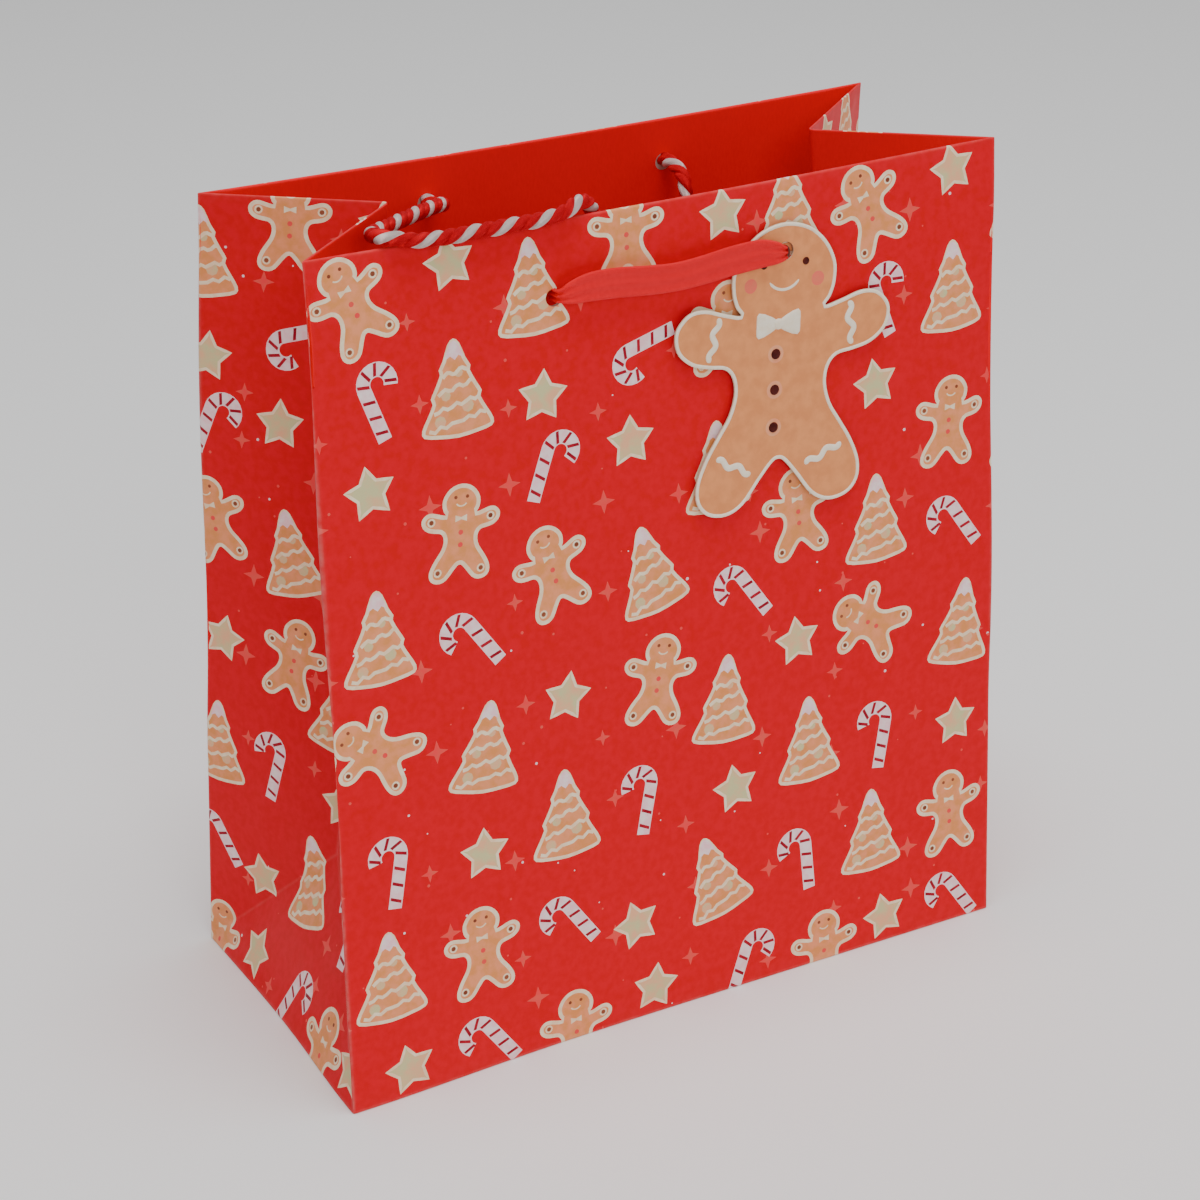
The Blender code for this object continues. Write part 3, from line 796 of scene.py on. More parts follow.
# ---------------------------------------------------------------- printed motifs, in millimetres
# The right half of a plain gingerbread figure, measured from the tag's hole: across and up
FIGURE_HALF = [
    (0.0, 8.5),
    (8.0, 6.7),
    (14.0, 2.0),
    (17.6, -4.5),
    (17.8, -10.5),
    (16.4, -15.0),
    (14.6, -17.6),
    (20.0, -16.4),
    (27.0, -14.4),
    (32.5, -15.0),
    (36.4, -18.6),
    (37.2, -22.6),
    (35.6, -27.0),
    (31.0, -30.6),
    (25.0, -32.2),
    (19.4, -33.2),
    (16.6, -36.4),
    (16.0, -41.5),
    (17.8, -47.5),
    (21.4, -53.0),
    (25.6, -59.5),
    (28.5, -66.5),
    (28.2, -72.5),
    (24.4, -76.6),
    (18.0, -77.7),
    (12.0, -75.0),
    (6.3, -68.2),
    (2.2, -63.6),
    (0.0, -62.6),
]
FIGURE_MIDDLE = -34.6
PRINT_SCALE = 0.335
FIGURE_BOW = [(-5.5, -18.6), (0, -20.6), (5.5, -18.6), (5.5, -24.6), (0, -22.6), (-5.5, -24.6)]
FIGURE_CUFFS = [(-28.0, -22.6), (28.0, -22.6), (-20.4, -68.0), (20.4, -68.0)]
FIGURE_BUTTONS = [(0, -34.0), (0, -45.0)]
FIGURE_EYES = [(-5.5, -3.0), (5.5, -3.0)]


def mirrored(half):
    """A closed outline from its right half, which starts and ends on the middle line."""
    return half + [(-a, b) for a, b in reversed(half[1:-1])]


def smile(across, down, middle, reach, count):
    """The lower arc of an ellipse round a centre at height middle, reach radians to each side."""
    return [(across * math.sin(a), middle - down * math.cos(a)) for a in np.linspace(-reach, reach, count)]


def figure_motif():
    def small(points):
        return [(a * PRINT_SCALE, (b - FIGURE_MIDDLE) * PRINT_SCALE) for a, b in points]

    whole = small(rounded(mirrored(FIGURE_HALF), 2))
    shapes = [(whole, "icing"), (inset(whole, 1.25), "cookie"), (small(FIGURE_BOW), "icing")]
    for centre in small(FIGURE_CUFFS):
        shapes += [(circle(centre, 1.3, 10), "icing"), (circle(centre, 0.75, 8), "dot")]
    shapes += [(circle(centre, 0.8, 8), "sparkle") for centre in small(FIGURE_BUTTONS)]
    shapes += [(circle(centre, 0.55, 8), "dot") for centre in small(FIGURE_EYES)]
    shapes.append((stroke(small(smile(6.0, 6.0, -5.0, 0.9, 7)), 0.45), "icing"))
    return shapes


TREE_HALF = [
    (0.0, 14.6),
    (1.9, 13.0),
    (3.6, 8.6),
    (5.0, 6.2),
    (4.7, 4.8),
    (6.6, 1.0),
    (8.0, -1.6),
    (7.5, -3.2),
    (9.4, -6.8),
    (11.2, -10.2),
    (10.6, -12.4),
    (6.0, -13.4),
    (0.0, -14.0),
]
TREE_CAP = [
    (0, 14.0),
    (1.6, 12.6),
    (2.9, 9.0),
    (1.4, 9.7),
    (0.2, 8.4),
    (-1.2, 9.6),
    (-2.9, 8.8),
    (-1.6, 12.6),
]
TREE_DOTS = [((-3.2, -1.4), 1.5), ((3.4, -5.2), 1.9), ((-5.4, -8.6), 1.8), ((1.2, 4.6), 1.3)]
TREE_WAVES = [(5.0, 3.9), (0.6, 5.6), (-4.4, 7.2), (-9.4, 9.0)]


def tree_motif():
    whole = rounded(mirrored(TREE_HALF), 2)
    shapes = [(whole, "icing"), (inset(whole, 1.1), "cookie")]
    shapes += [(circle(centre, radius, 8), "leaf") for centre, radius in TREE_DOTS]
    shapes.append((rounded(TREE_CAP, 2), "candy"))
    for height, reach in TREE_WAVES:
        xs = np.linspace(-reach, reach, 11)
        wave = [(x, height + 0.2 * x + 0.55 * math.sin(x * 1.5 + height)) for x in xs]
        shapes.append((stroke(wave, 1.15), "icing"))
    return shapes


CANE_RADIUS = 4.2
CANE_STROKE = 4.3


def cane_motif(side):
    """A candy cane that bends to one side: -1 left, 1 right."""
    line = [(0.0, -11.5 + 1.6 * i) for i in range(11)]
    top = line[-1][1]
    for degrees in range(15, 211, 15):
        angle = math.radians(degrees)
        line.append((side * CANE_RADIUS * (1 - math.cos(angle)), top + CANE_RADIUS * math.sin(angle)))
    line = [(x - side * CANE_RADIUS * 0.6, y) for x, y in line]
    shapes = [(stroke(line, CANE_STROKE), "candy")]
    for i in range(1, len(line) - 2, 3):
        ahead = Vector(line[i + 1]) - Vector(line[i])
        across = Vector((-ahead.y, ahead.x)).normalized() * (CANE_STROKE * 0.42)
        ahead.normalize()
        middle = Vector(line[i])
        low, high = middle - across, middle + across
        corners = [low, low + ahead, high + ahead * 2.0, high + ahead]
        shapes.append(([tuple(c) for c in corners], "stripe"))
    return shapes


def star_points(outer, inner, points=5):
    corners = []
    for i in range(2 * points):
        radius = inner if i % 2 else outer
        angle = math.pi * (0.5 + i / points)
        corners.append((radius * math.cos(angle), radius * math.sin(angle)))
    return corners


def star_motif():
    whole = rounded(star_points(8.2, 4.6), 2)
    return [(whole, "icing"), (inset(whole, 0.95), "leaf")]


MOTIFS = {
    "figure": figure_motif(),
    "tree": tree_motif(),
    "cane_left": cane_motif(-1),
    "cane_right": cane_motif(1),
    "star": star_motif(),
}

# The print repeats every six columns. Each column runs down the sheet: motif, how far it stands to the
# right of the column's line, its height, and its turn to the left in degrees.
COLUMNS = [
    [
        ("figure", -2, 241, 25),
        ("cane_right", 4, 213, 20),
        ("star", 0, 187, 8),
        ("tree", 0, 144, 0),
        ("figure", -3, 111, 57),
        ("cane_left", 0, 73, -10),
        ("tree", -2, 40, 0),
        ("star", 3, 9, 10),
    ],
    [
        ("star", 0, 248, 10),
        ("tree", 0, 212, 0),
        ("figure", -1, 170, -5),
        ("cane_left", 1, 137, 35),
        ("tree", 4, 103, -8),
        ("star", 2, 70, 0),
        ("figure", 0, 39, 2),
        ("cane_left", 1, 9, 35),
    ],
    [
        ("tree", -3, 237, 2),
        ("star", -1, 205, -6),
        ("cane_right", 1, 184, -20),
        ("figure", 0, 152, 15),
        ("star", 3, 112, -12),
        ("tree", 1, 75, 0),
        ("cane_left", 1, 40, 35),
        ("figure", 2, 2, 0),
    ],
    [
        ("figure", 0, 247, 0),
        ("cane_left", 4, 212, 105),
        ("star", -1, 186, 0),
        ("tree", 4, 145, 12),
        ("figure", 6, 110, -12),
        ("cane_left", -1, 73, -12),
        ("star", -4, 32, 14),
        ("star", 2, 9, -8),
    ],
    [
        ("star", 4, 248, 4),
        ("figure", 4, 214, -8),
        ("tree", 0, 172, 0),
        ("cane_left", 8, 131, 35),
        ("tree", 1, 98, -5),
        ("star", 4, 68, 8),
        ("tree", -4, 40, 15),
        ("cane_right", 8, 8, -20),
    ],
    [
        ("tree", -2, 246, 0),
        ("cane_right", 0, 216, 10),
        ("star", 0, 186, 20),
        ("figure", 0, 152, 5),
        ("star", -1, 111, 6),
        ("tree", 3, 77, 0),
        ("cane_left", -1, 38, 5),
        ("figure", 8, 3, 0),
    ],
]
COLUMN_SPACING = 28
FIRST_FRONT_COLUMN = 16
GUSSET_COLUMN_SPACING = 24
FIRST_GUSSET_COLUMN = 4
REPEAT_HEIGHT = 272
SNOW_ROWS = range(-60, 270, 33)
SPECKS = 520


def column_lines():
    """Each printed column: its distance round the sleeve, and which of the six columns it is."""
    lines = [(FIRST_GUSSET_COLUMN + GUSSET_COLUMN_SPACING * i, (2 + i) % 6) for i in range(5)]
    start = FRONT_LEFT / MM + FIRST_FRONT_COLUMN
    count = int((GIRTH / MM - start) / COLUMN_SPACING) + 1
    return lines + [(start + COLUMN_SPACING * i, i % 6) for i in range(count)]


def draw_motif(drawing, name, centre, turn):
    cosine, sine = math.cos(math.radians(turn)), math.sin(math.radians(turn))
    for points, ink_name in MOTIFS[name]:
        placed = [(centre[0] + a * cosine - b * sine, centre[1] + a * sine + b * cosine) for a, b in points]
        drawing.add_shape(placed, ink_name)


def draw_snow(drawing, columns):
    """Faint sparkles between the columns, and specks of snow all over."""
    chance = random.Random(7)
    for line, _ in columns:
        for height in SNOW_ROWS:
            centre = (line + COLUMN_SPACING / 2 + chance.uniform(-4, 4), height + chance.uniform(-12, 12))
            size = chance.uniform(2.6, 3.9)
            shape = star_points(size, size * 0.36, 4)
            drawing.add_shape([(centre[0] + a, centre[1] + b) for a, b in shape], "sparkle")
    for _ in range(SPECKS):
        centre = (chance.uniform(1, GIRTH / MM - 1), chance.uniform(-76, 255))
        speck = circle(centre, chance.uniform(0.25, 0.55), 6)
        drawing.add_shape(speck, chance.choice(["sparkle", "candy", "sparkle"]))


FLAT_TOP = (HEIGHT - FOLD_RADIUS + math.pi * FOLD_RADIUS + HEM_HEIGHT) / MM


def hem_height(z):
    """The flat height of a point on the turned-in hem at height z."""
    return (2 * (HEIGHT - FOLD_RADIUS) + math.pi * FOLD_RADIUS - z) / MM


def sleeve_holes():
    """Centre and radius of every hole in the flat sheet: ribbon holes in wall and hem, cord holes in hems."""
    front = FRONT_LEFT + WIDTH / 2
    back = BACK_RIGHT + WIDTH / 2
    holes = []
    for side in (-1, 1):
        ribbon = (front + side * RIBBON_HALF_SPAN) / MM
        holes.append(((ribbon, RIBBON_HEIGHT / MM), RIBBON_HOLE / MM))
        holes.append(((ribbon, hem_height(RIBBON_HEIGHT)), RIBBON_HOLE / MM))
        for middle in (front, back):
            cord = (middle + side * HANDLE_HALF_SPAN) / MM
            holes.append(((cord, hem_height(HANDLE_HEIGHT)), HANDLE_HOLE / MM))
    return holes


def crease_lines():
    """Lines along every corner and crease, with close neighbours that carry its rounding."""
    lines = []
    half, tip, top = DEPTH / 2 / MM, TIP_HEIGHT / MM, FLAT_TOP
    for offset in (-1.7, -1.1, -0.55, 0, 0.55, 1.1, 1.7):
        for corner in (FRONT_LEFT, FRONT_RIGHT, BACK_RIGHT):
            lines.append([(corner / MM + offset, 0), (corner / MM + offset, top)])
        for start in (0, FRONT_RIGHT / MM):
            middle = start + half
            lines.append([(middle + offset, tip), (middle + offset, top)])
            for side in (-1, 1):
                foot = middle + side * half
                lines.append([(foot + offset, 0), (middle + offset, tip)])
    for offset in (0.55, 1.1, 1.7):
        for edge in (offset, GIRTH / MM - offset):
            lines.append([(edge, 0), (edge, top)])
    return lines


def sheet_lines():
    """The sheet's border, the rows that carry the folds at the rim and the base, and the flaps' edges."""
    end, top = GIRTH / MM, FLAT_TOP
    lines = [[(0, 0), (0, top)], [(end, 0), (end, top)], [(0, top), (end, top)], [(0, 0), (end, 0)]]
    for rise in (-0.8, -0.5, -0.25, 0, 0.3, 0.55, 0.85, 1.15, 1.5, 2.2):
        lines.append([(0, HEIGHT / MM + rise), (end, HEIGHT / MM + rise)])
    for rise in (0.3, 0.6, 1.2):
        lines.append([(0, rise), (end, rise)])
    for start, stop in flap_spans():
        for drop in (-0.3, -0.6, -1.2, -FLAP_LENGTH / MM):
            lines.append([(start, drop), (stop, drop)])
        for edge in (start, stop):
            lines.append([(edge, 0), (edge, -FLAP_LENGTH / MM)])
    return lines


def flap_spans():
    margin = FLAP_MARGIN / MM
    return [
        (FRONT_LEFT / MM + margin, FRONT_RIGHT / MM - margin),
        (BACK_RIGHT / MM + margin, GIRTH / MM - margin),
    ]


def inside_sleeve(centres):
    u, v = centres[:, 0], centres[:, 1]
    inside = (u > 0) & (u < GIRTH / MM) & (v > 0) & (v < FLAT_TOP)
    for start, stop in flap_spans():
        inside |= (u > start) & (u < stop) & (v <= 0) & (v > -FLAP_LENGTH / MM)
    for centre, radius in sleeve_holes():
        inside &= np.hypot(u - centre[0], v - centre[1]) > radius * HOLE_SHARE
    return inside


def draw_sleeve():
    drawing = Drawing()
    columns = column_lines()
    draw_snow(drawing, columns)
    for line, which in columns:
        for name, right, height, turn in COLUMNS[which]:
            draw_motif(drawing, name, (line + right, height), turn)
            if height - REPEAT_HEIGHT > -90:
                draw_motif(drawing, name, (line + right, height - REPEAT_HEIGHT), turn)
    for line in crease_lines() + sheet_lines():
        drawing.add_line(spread_line(*line, LINE_SPACING))
    for centre, radius in sleeve_holes():
        drawing.add_ring(circle(centre, radius, 24))
    jitter = random.Random(3)
    for row in range(-11, 42):
        for column in range(1, int(GIRTH / MM / GRID_SPACING)):
            right = column * GRID_SPACING + jitter.uniform(-GRID_JITTER, GRID_JITTER)
            up = row * GRID_SPACING + jitter.uniform(-GRID_JITTER, GRID_JITTER)
            drawing.add_points([(right, up)])
    return drawing


def thick_sheet(name, flat, place, materials):
    """A closed thin sheet from flat triangles: place(u, v, face) gives both faces, 0 printed and 1 inside."""
    points, faces, inks = flat
    used = np.unique(faces)
    renumber = np.zeros(len(points), dtype=int)
    renumber[used] = np.arange(len(used))
    faces = renumber[faces]
    u, v = points[used, 0] * MM, points[used, 1] * MM
    count = len(used)
    vertices = np.concatenate([place(u, v, 0), place(u, v, 1)])
    edges = {(a, b) for face in faces.tolist() for a, b in zip(face, face[1:] + face[:1])}
    rim = [(a, b) for a, b in sorted(edges) if (b, a) not in edges]
    all_faces = faces.tolist() + [[a + count, c + count, b + count] for a, b, c in faces.tolist()]
    all_faces += [[b, a, a + count, b + count] for a, b in rim]
    indices = inks.tolist() + [INKS["inside"]] * len(faces) + [INKS["edge"]] * len(rim)
    piece = add_mesh(name, vertices, all_faces, materials, indices)
    wear = piece.data.attributes.new("crease", "FLOAT", "POINT")
    wear.data.foreach_set("value", np.tile(crease_wear(u, v), 2))
    sharpen(piece, SHEET_SHARP)
    return piece


def add_sleeve(materials):
    def place(u, v, face):
        return sleeve_points(u, v, face * PAPER)

    def plain(centres):
        return centres[:, 1] > HEIGHT / MM + 0.55

    flat = draw_sleeve().triangles(inside_sleeve, plain)
    sleeve = thick_sheet("paper_sleeve", flat, place, materials)
    sides = ("left", "right")
    walls = ["front_panel", "back_panel", "bottom_flap_front", "bottom_flap_back"]
    gussets = [f"{side}_gusset_{part}" for side in sides for part in ("front", "back", "base")]
    hems = ["front_hem", "back_hem"] + [f"{side}_hem_{part}" for side in sides for part in ("front", "back")]
    declare(sleeve, "bag", "printed_paper", *walls, *gussets, *hems)


# ---------------------------------------------------------------- flat pieces inside the walls and the base
def slot_ring(x, z, radius, reach, sides=12):
    """The outline of a round hole, or of a slot whose round ends lie reach to each side of its middle."""
    if reach == 0:
        return circle((x, z), radius, 2 * sides)
    ring = []
    for end, start in ((1, -90), (-1, 90)):
        for i in range(sides + 1):
            angle = math.radians(start + 180 * i / sides)
            ring.append((x + end * reach + radius * math.cos(angle), z + radius * math.sin(angle)))
    return ring


def wall_piece(name, node, side, holes, materials, slot):
    """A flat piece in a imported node's place behind the front (side -1) or back (side 1) wall.

    Each hole is x, z, radius and reach, as in slot_ring.
    """
    drawing = Drawing()
    low, high = ((corner[0] / MM, corner[2] / MM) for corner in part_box(node))
    corners = [low, (high[0], low[1]), high, (low[0], high[1])]
    for start, end in zip(corners, corners[1:] + corners[:1]):
        drawing.add_line(spread_line(start, end, CARD_SPACING / 2))
    holes = [[value / MM for value in hole] for hole in holes]
    for hole in holes:
        drawing.add_ring(slot_ring(*hole))
    for i in range(1, int((high[0] - low[0]) / CARD_SPACING)):
        for j in range(1, max(2, int((high[1] - low[1]) / CARD_SPACING))):
            drawing.add_points([(low[0] + i * CARD_SPACING + 0.3 * (j % 2), low[1] + j * CARD_SPACING)])

    def keep(centres):
        x, z = centres[:, 0], centres[:, 1]
        inside = (x > low[0]) & (x < high[0]) & (z > low[1]) & (z < high[1])
        for hole_x, hole_z, radius, reach in holes:
            off = np.maximum(np.abs(x - hole_x) - reach, 0)
            inside &= np.hypot(off, z - hole_z) > radius * HOLE_SHARE
        return inside

    def place(x, z, face):
        around = (FRONT_LEFT + WIDTH / 2 + x) if side < 0 else (BACK_RIGHT + WIDTH / 2 - x)
        depth = CARD_SPAN[face] if side < 0 else CARD_SPAN[1 - face]
        y = side * (half_depth(z) - depth + relief(around, z))
        return settle(np.stack([x, y, z - rim_sag(around, z)], axis=1))

    piece = thick_sheet(name, drawing.triangles(keep), place, materials)
    declare(piece, "bag", slot, node)


def add_cards(material):
    """Reinforcing cards between the walls and their hems."""
    for name, side in (("front_card", -1), ("back_card", 1)):
        holes = [(end * BAR_MIDDLE, HANDLE_HEIGHT, BAR_ROUND + BAR_GAP, BAR_REACH) for end in (-1, 1)]
        if side < 0:
            holes += [(end * RIBBON_HALF_SPAN, RIBBON_HEIGHT, RIBBON_HOLE, 0) for end in (-1, 1)]
        wall_piece(f"{name}_liner", name, side, holes, [material] * len(INK_NAMES), "grey_card")


def level_plate(name, node, corners, radius, thickness, material, slot):
    """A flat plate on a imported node's underside, with round corners and slightly rounded edges."""
    if signed_area(corners) < 0:
        corners = corners[::-1]
    ring = round_corners(corners, radius)
    small = 0.2 * thickness
    inner = inset(ring, small)
    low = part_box(node)[0][2]
    high = low + thickness
    layers = [(inner, low), (ring, low + small), (ring, high - small), (inner, high)]
    vertices = [(x, y, z) for points, z in layers for x, y in points]
    piece = add_mesh(name, settle(vertices), tube_faces(4, len(ring)), [material], smooth=False)
    declare(piece, "bag", slot, node)


def round_corners(corners, radius):
    """The outline with each corner replaced by a short arc."""
    count = len(corners)
    result = []
    for i in range(count):
        before, here, after = (Vector(corners[(i + k) % count]) for k in (-1, 0, 1))
        start = here + (before - here).normalized() * radius
        end = here + (after - here).normalized() * radius
        for step in range(5):
            t = step / 4
            spot = start * (1 - t) ** 2 + here * 2 * t * (1 - t) + end * t**2
            result.append((spot.x, spot.y))
    return result


def add_bottom(paper_material, board_material):
    """The side flaps folded in at the base, and the loose board that lies on them."""
    taper = SIDE_FLAP_TAPER
    for side, name in ((-1, "bottom_flap_left"), (1, "bottom_flap_right")):
        low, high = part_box(name)
        outer, inner = (high[0], low[0]) if side > 0 else (low[0], high[0])
        corners = [(outer, low[1]), (outer, high[1]), (inner, high[1] - taper), (inner, low[1] + taper)]
        level_plate(f"{name}_paper", name, corners, FLAP_CORNER, PAPER, paper_material, "inner_paper")
    low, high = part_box("base_board")
    corners = [(low[0], low[1]), (high[0], low[1]), (high[0], high[1]), (low[0], high[1])]
    rise = high[2] - low[2]
    level_plate("loose_base_board", "base_board", corners, BOARD_CORNER, rise, board_material, "grey_card")


def add_handle_ends(material):
    """The cords' flattened ends: stiff bars in slots of the cards, which keep the cords from pulling out."""
    for wall, facing in (("front", -1), ("back", 1)):
        for side, end in (("left", -1), ("right", 1)):
            vertices = []
            for grow, level in ((0.86, -1), (1, -0.5), (1, 0.5), (0.86, 1)):
                for i in range(BAR_SIDES):
                    angle = 2 * math.pi * (i + 0.5) / BAR_SIDES
                    middle = end * BAR_MIDDLE + math.copysign(BAR_REACH, math.cos(angle))
                    x = middle + grow * BAR_ROUND * math.cos(angle)
                    z = HANDLE_HEIGHT + grow * BAR_ROUND * math.sin(angle)
                    depth = sum(CARD_SPAN) / 2 + level * BAR_HALF_THICKNESS
                    vertices.append((x, facing * (half_depth(z) - depth), z))
            faces = tube_faces(4, BAR_SIDES)
            if facing < 0:
                faces = flipped(faces)
            bar = add_mesh(f"{wall}_handle_bar_{side}", settle(vertices), faces, [material])
            sharpen(bar, 40)
            declare(bar, "bag", "handle_cord", f"{wall}_handle_end_{side}")


# ---------------------------------------------------------------- cords
def even_path(points, count):
    """count evenly spaced points along a smooth curve through the given ones."""
    fine = np.array(rounded([tuple(p) for p in points], 12, closed=False))
    steps = np.linalg.norm(np.diff(fine[:, :3], axis=0), axis=1)
    along = np.concatenate([[0], np.cumsum(steps)])
    wanted = np.linspace(0, along[-1], count)
    return np.stack([np.interp(wanted, along, fine[:, k]) for k in range(fine.shape[1])], axis=1), along[-1]


def carried_frames(path):
    """Tangents of a path, and normals carried along it without twisting."""
    tangents = unit(np.gradient(path, axis=0))
    normal = np.cross(tangents[0], (0.3, 0.2, 1.0))
    normals = []
    for tangent in tangents:
        normal = normal - tangent * normal.dot(tangent)
        normal = normal / np.linalg.norm(normal)
        normals.append(normal)
    return tangents, np.array(normals)


def rope(name, route, materials, phase):
    """A cord of three twisted plies along a route, the last ply in its own colour, and its centreline."""
    route = np.array(route)
    for end, inner in ((0, 1), (-1, -2)):
        outward = route[end] - route[inner]
        route[end] += outward / np.linalg.norm(outward) * CORD_DEEPER
    path, length = even_path(route, ROPE_RINGS)
    tangents, normals = carried_frames(path)
    binormals = np.cross(tangents, normals)
    sides = 3 * PLY_SIDES
    vertices, uvs = [], []
    for i, centre in enumerate(path):
        along = length * i / (len(path) - 1)
        twist = phase - 2 * math.pi * along / TWIST_PITCH
        for j in range(sides):
            off_ply = abs((j % PLY_SIDES) / PLY_SIDES - 0.5) * 2
            radius = CORD_RADIUS * (1 - PLY_GROOVE * off_ply**2.2)
            angle = twist + 2 * math.pi * j / sides
            vertices.append(centre + radius * (math.cos(angle) * normals[i] + math.sin(angle) * binormals[i]))
            uvs.append(((YARN_SLANT * along + 2 * math.pi * CORD_RADIUS * j / sides) / MM, along / MM))
    ply_inks = [1 if j // PLY_SIDES == 2 else 0 for j in range(sides)]
    indices = ply_inks * (len(path) - 1) + [0, 0]
    cord = add_mesh(name, settle(vertices), tube_faces(len(path), sides), materials, indices, map_points=uvs)
    return cord, settle(path), length


def add_handles(materials):
    back = [(x, y, HEIGHT + rise) for x, y, rise in BACK_HANDLE_ROUTE]
    left = [(x, y, HEIGHT + rise) for x, y, rise in FRONT_HANDLE_HALF]
    front = left + [(-x, y, z) for x, y, z in reversed(left[:-1])]
    for name, route, lay, phase in (("back", back, "loose", BACK_PHASE), ("front", front, "hanging", 0.0)):
        cord, path, length = rope(f"{name}_handle_rope", route, materials, phase)
        declare(cord, f"{name}_handle", "handle_cord", f"{name}_handle_cord")
        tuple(route[0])


# ---------------------------------------------------------------- ribbon and its knots
def strip(name, path, widths, half_widths, ripple, material):
    """A thin closed strip along a path, whose directions across, half widths and ripples are per point."""
    normals = unit(np.cross(unit(np.gradient(path, axis=0)), widths))
    along = np.concatenate([[0], np.cumsum(np.linalg.norm(np.diff(path, axis=0), axis=1))])
    shares = np.linspace(-1, 1, STRIP_COLUMNS)
    vertices, uvs = [], []
    for face in (1, -1):
        for i, centre in enumerate(path):
            for share in shares:
                wave = ripple[i] * math.cos(math.pi * 2.5 * share + 0.7) + face * RIBBON_THICKNESS / 2
                vertices.append(centre + widths[i] * half_widths[i] * share + normals[i] * wave)
                uvs.append((share * half_widths[i] / MM, along[i] / MM))
    rows, columns = len(path), STRIP_COLUMNS
    layer = rows * columns
    faces = []
    for i in range(rows - 1):
        for j in range(columns - 1):
            a, b = i * columns + j, i * columns + j + 1
            faces.append([a, a + columns, b + columns, b])
            faces.append([layer + a, layer + b, layer + b + columns, layer + a + columns])
    ring = list(range(columns))
    ring += [i * columns + columns - 1 for i in range(1, rows)]
    ring += [(rows - 1) * columns + j for j in range(columns - 2, -1, -1)]
    ring += [i * columns for i in range(rows - 2, 0, -1)]
    for a, b in zip(ring, ring[1:] + ring[:1]):
        faces.append([a, b, layer + b, layer + a])
    return add_mesh(name, settle(vertices), faces, [material], map_points=uvs)


def wall_up():
    lean = math.atan((DEPTH - MOUTH_DEPTH) / 2 / HEIGHT)
    return np.array((0.0, math.sin(lean), math.cos(lean)))


def add_knot(name, side, material):
    """An overhand knot behind the wall, with its short tail."""
    centre = np.array((side * RIBBON_HALF_SPAN, -half_depth(RIBBON_HEIGHT) + KNOT_BEHIND, RIBBON_HEIGHT))
    turns = np.linspace(0, 2 * math.pi, KNOT_RINGS, endpoint=False)
    ring = 2 + np.cos(3 * turns)
    line = np.stack([ring * np.cos(2 * turns), 0.9 * np.sin(3 * turns), ring * np.sin(2 * turns)], axis=1)
    line = centre + line * KNOT_SCALE
    tangents = unit(np.roll(line, -1, axis=0) - np.roll(line, 1, axis=0))
    half_thickness, half_width = KNOT_STRAND
    vertices, uvs = [], []
    for i, tangent in enumerate(tangents):
        outward = line[i] - centre
        outward -= tangent * outward.dot(tangent)
        outward /= np.linalg.norm(outward)
        across = np.cross(tangent, outward)
        for j in range(KNOT_SIDES):
            angle = 2 * math.pi * j / KNOT_SIDES
            rise, reach = half_thickness * math.sin(angle), half_width * math.cos(angle)
            vertices.append(line[i] + outward * rise + across * reach)
            uvs.append((reach / MM, i * KNOT_MAP_STEP))
    faces = flipped(ring_faces(KNOT_RINGS, KNOT_SIDES, closed=True))
    knot = add_mesh(name, settle(vertices), faces, [material], map_points=uvs)
    path, _ = even_path(centre + np.array(TAIL_DROP) * (side, 1, 1), TAIL_RINGS)
    across = np.tile((1.0, 0.0, 0.0), (TAIL_RINGS, 1))
    half_widths = np.linspace(*TAIL_HALF_WIDTHS, TAIL_RINGS)
    tail = strip(f"{name}_tail", path, across, half_widths, np.full(TAIL_RINGS, TAIL_RIPPLE), material)
    return knot, tail


def add_ribbon(material):
    left = []
    for x, off, rise, half in RIBBON_HALF:
        left.append((x, -(half_depth(HEIGHT + rise) + off), HEIGHT + rise, half))
    route = left + [(-x, y, z, half) for x, y, z, half in reversed(left[:-1])]
    spaced, length = even_path(route, RIBBON_RINGS)
    path, half_widths = spaced[:, :3], spaced[:, 3]
    gather = (half_widths.max() - half_widths) / (half_widths.max() - half_widths.min())
    ripple = FLAT_RIPPLE + GATHERED_RIPPLE * gather
    widths = np.tile(wall_up(), (len(path), 1))
    ribbon = strip("satin_ribbon", path, widths, half_widths, ripple, material)
    declare(ribbon, "bag", "ribbon", "tag_ribbon")
    knots = []
    for side, word in ((-1, "left"), (1, "right")):
        knot, tail = add_knot(f"ribbon_knot_{word}_tied", side, material)
        declare(knot, "bag", "ribbon", f"ribbon_knot_{word}")
        declare(tail, "bag", "ribbon")
        knots += [knot, tail]
    settle(path).tolist()


# ---------------------------------------------------------------- gift tag
def tag_place(a, b, out):
    """A point of the tag: across and up from its hole in millimetres, and out from the wall in metres."""
    a, b = np.asarray(a) * MM, np.asarray(b) * MM
    tilt = math.radians(TAG_TILT)
    up_wall = wall_up()
    outward = np.array((0.0, -up_wall[2], up_wall[1]))
    across = np.array((math.cos(tilt), 0, 0)) - up_wall * math.sin(tilt)
    up = np.array((math.sin(tilt), 0, 0)) + up_wall * math.cos(tilt)
    hole = np.array((RIBBON_HALF_SPAN, -half_depth(RIBBON_HEIGHT), RIBBON_HEIGHT))
    curl = 0.0009 * (a / 0.037) ** 2 + 0.0007 * np.clip((-0.030 - b) / 0.045, 0, 1) ** 2
    lift = np.asarray(out) + curl
    return settle(hole + np.outer(a, across) + np.outer(b, up) + np.outer(lift, outward))


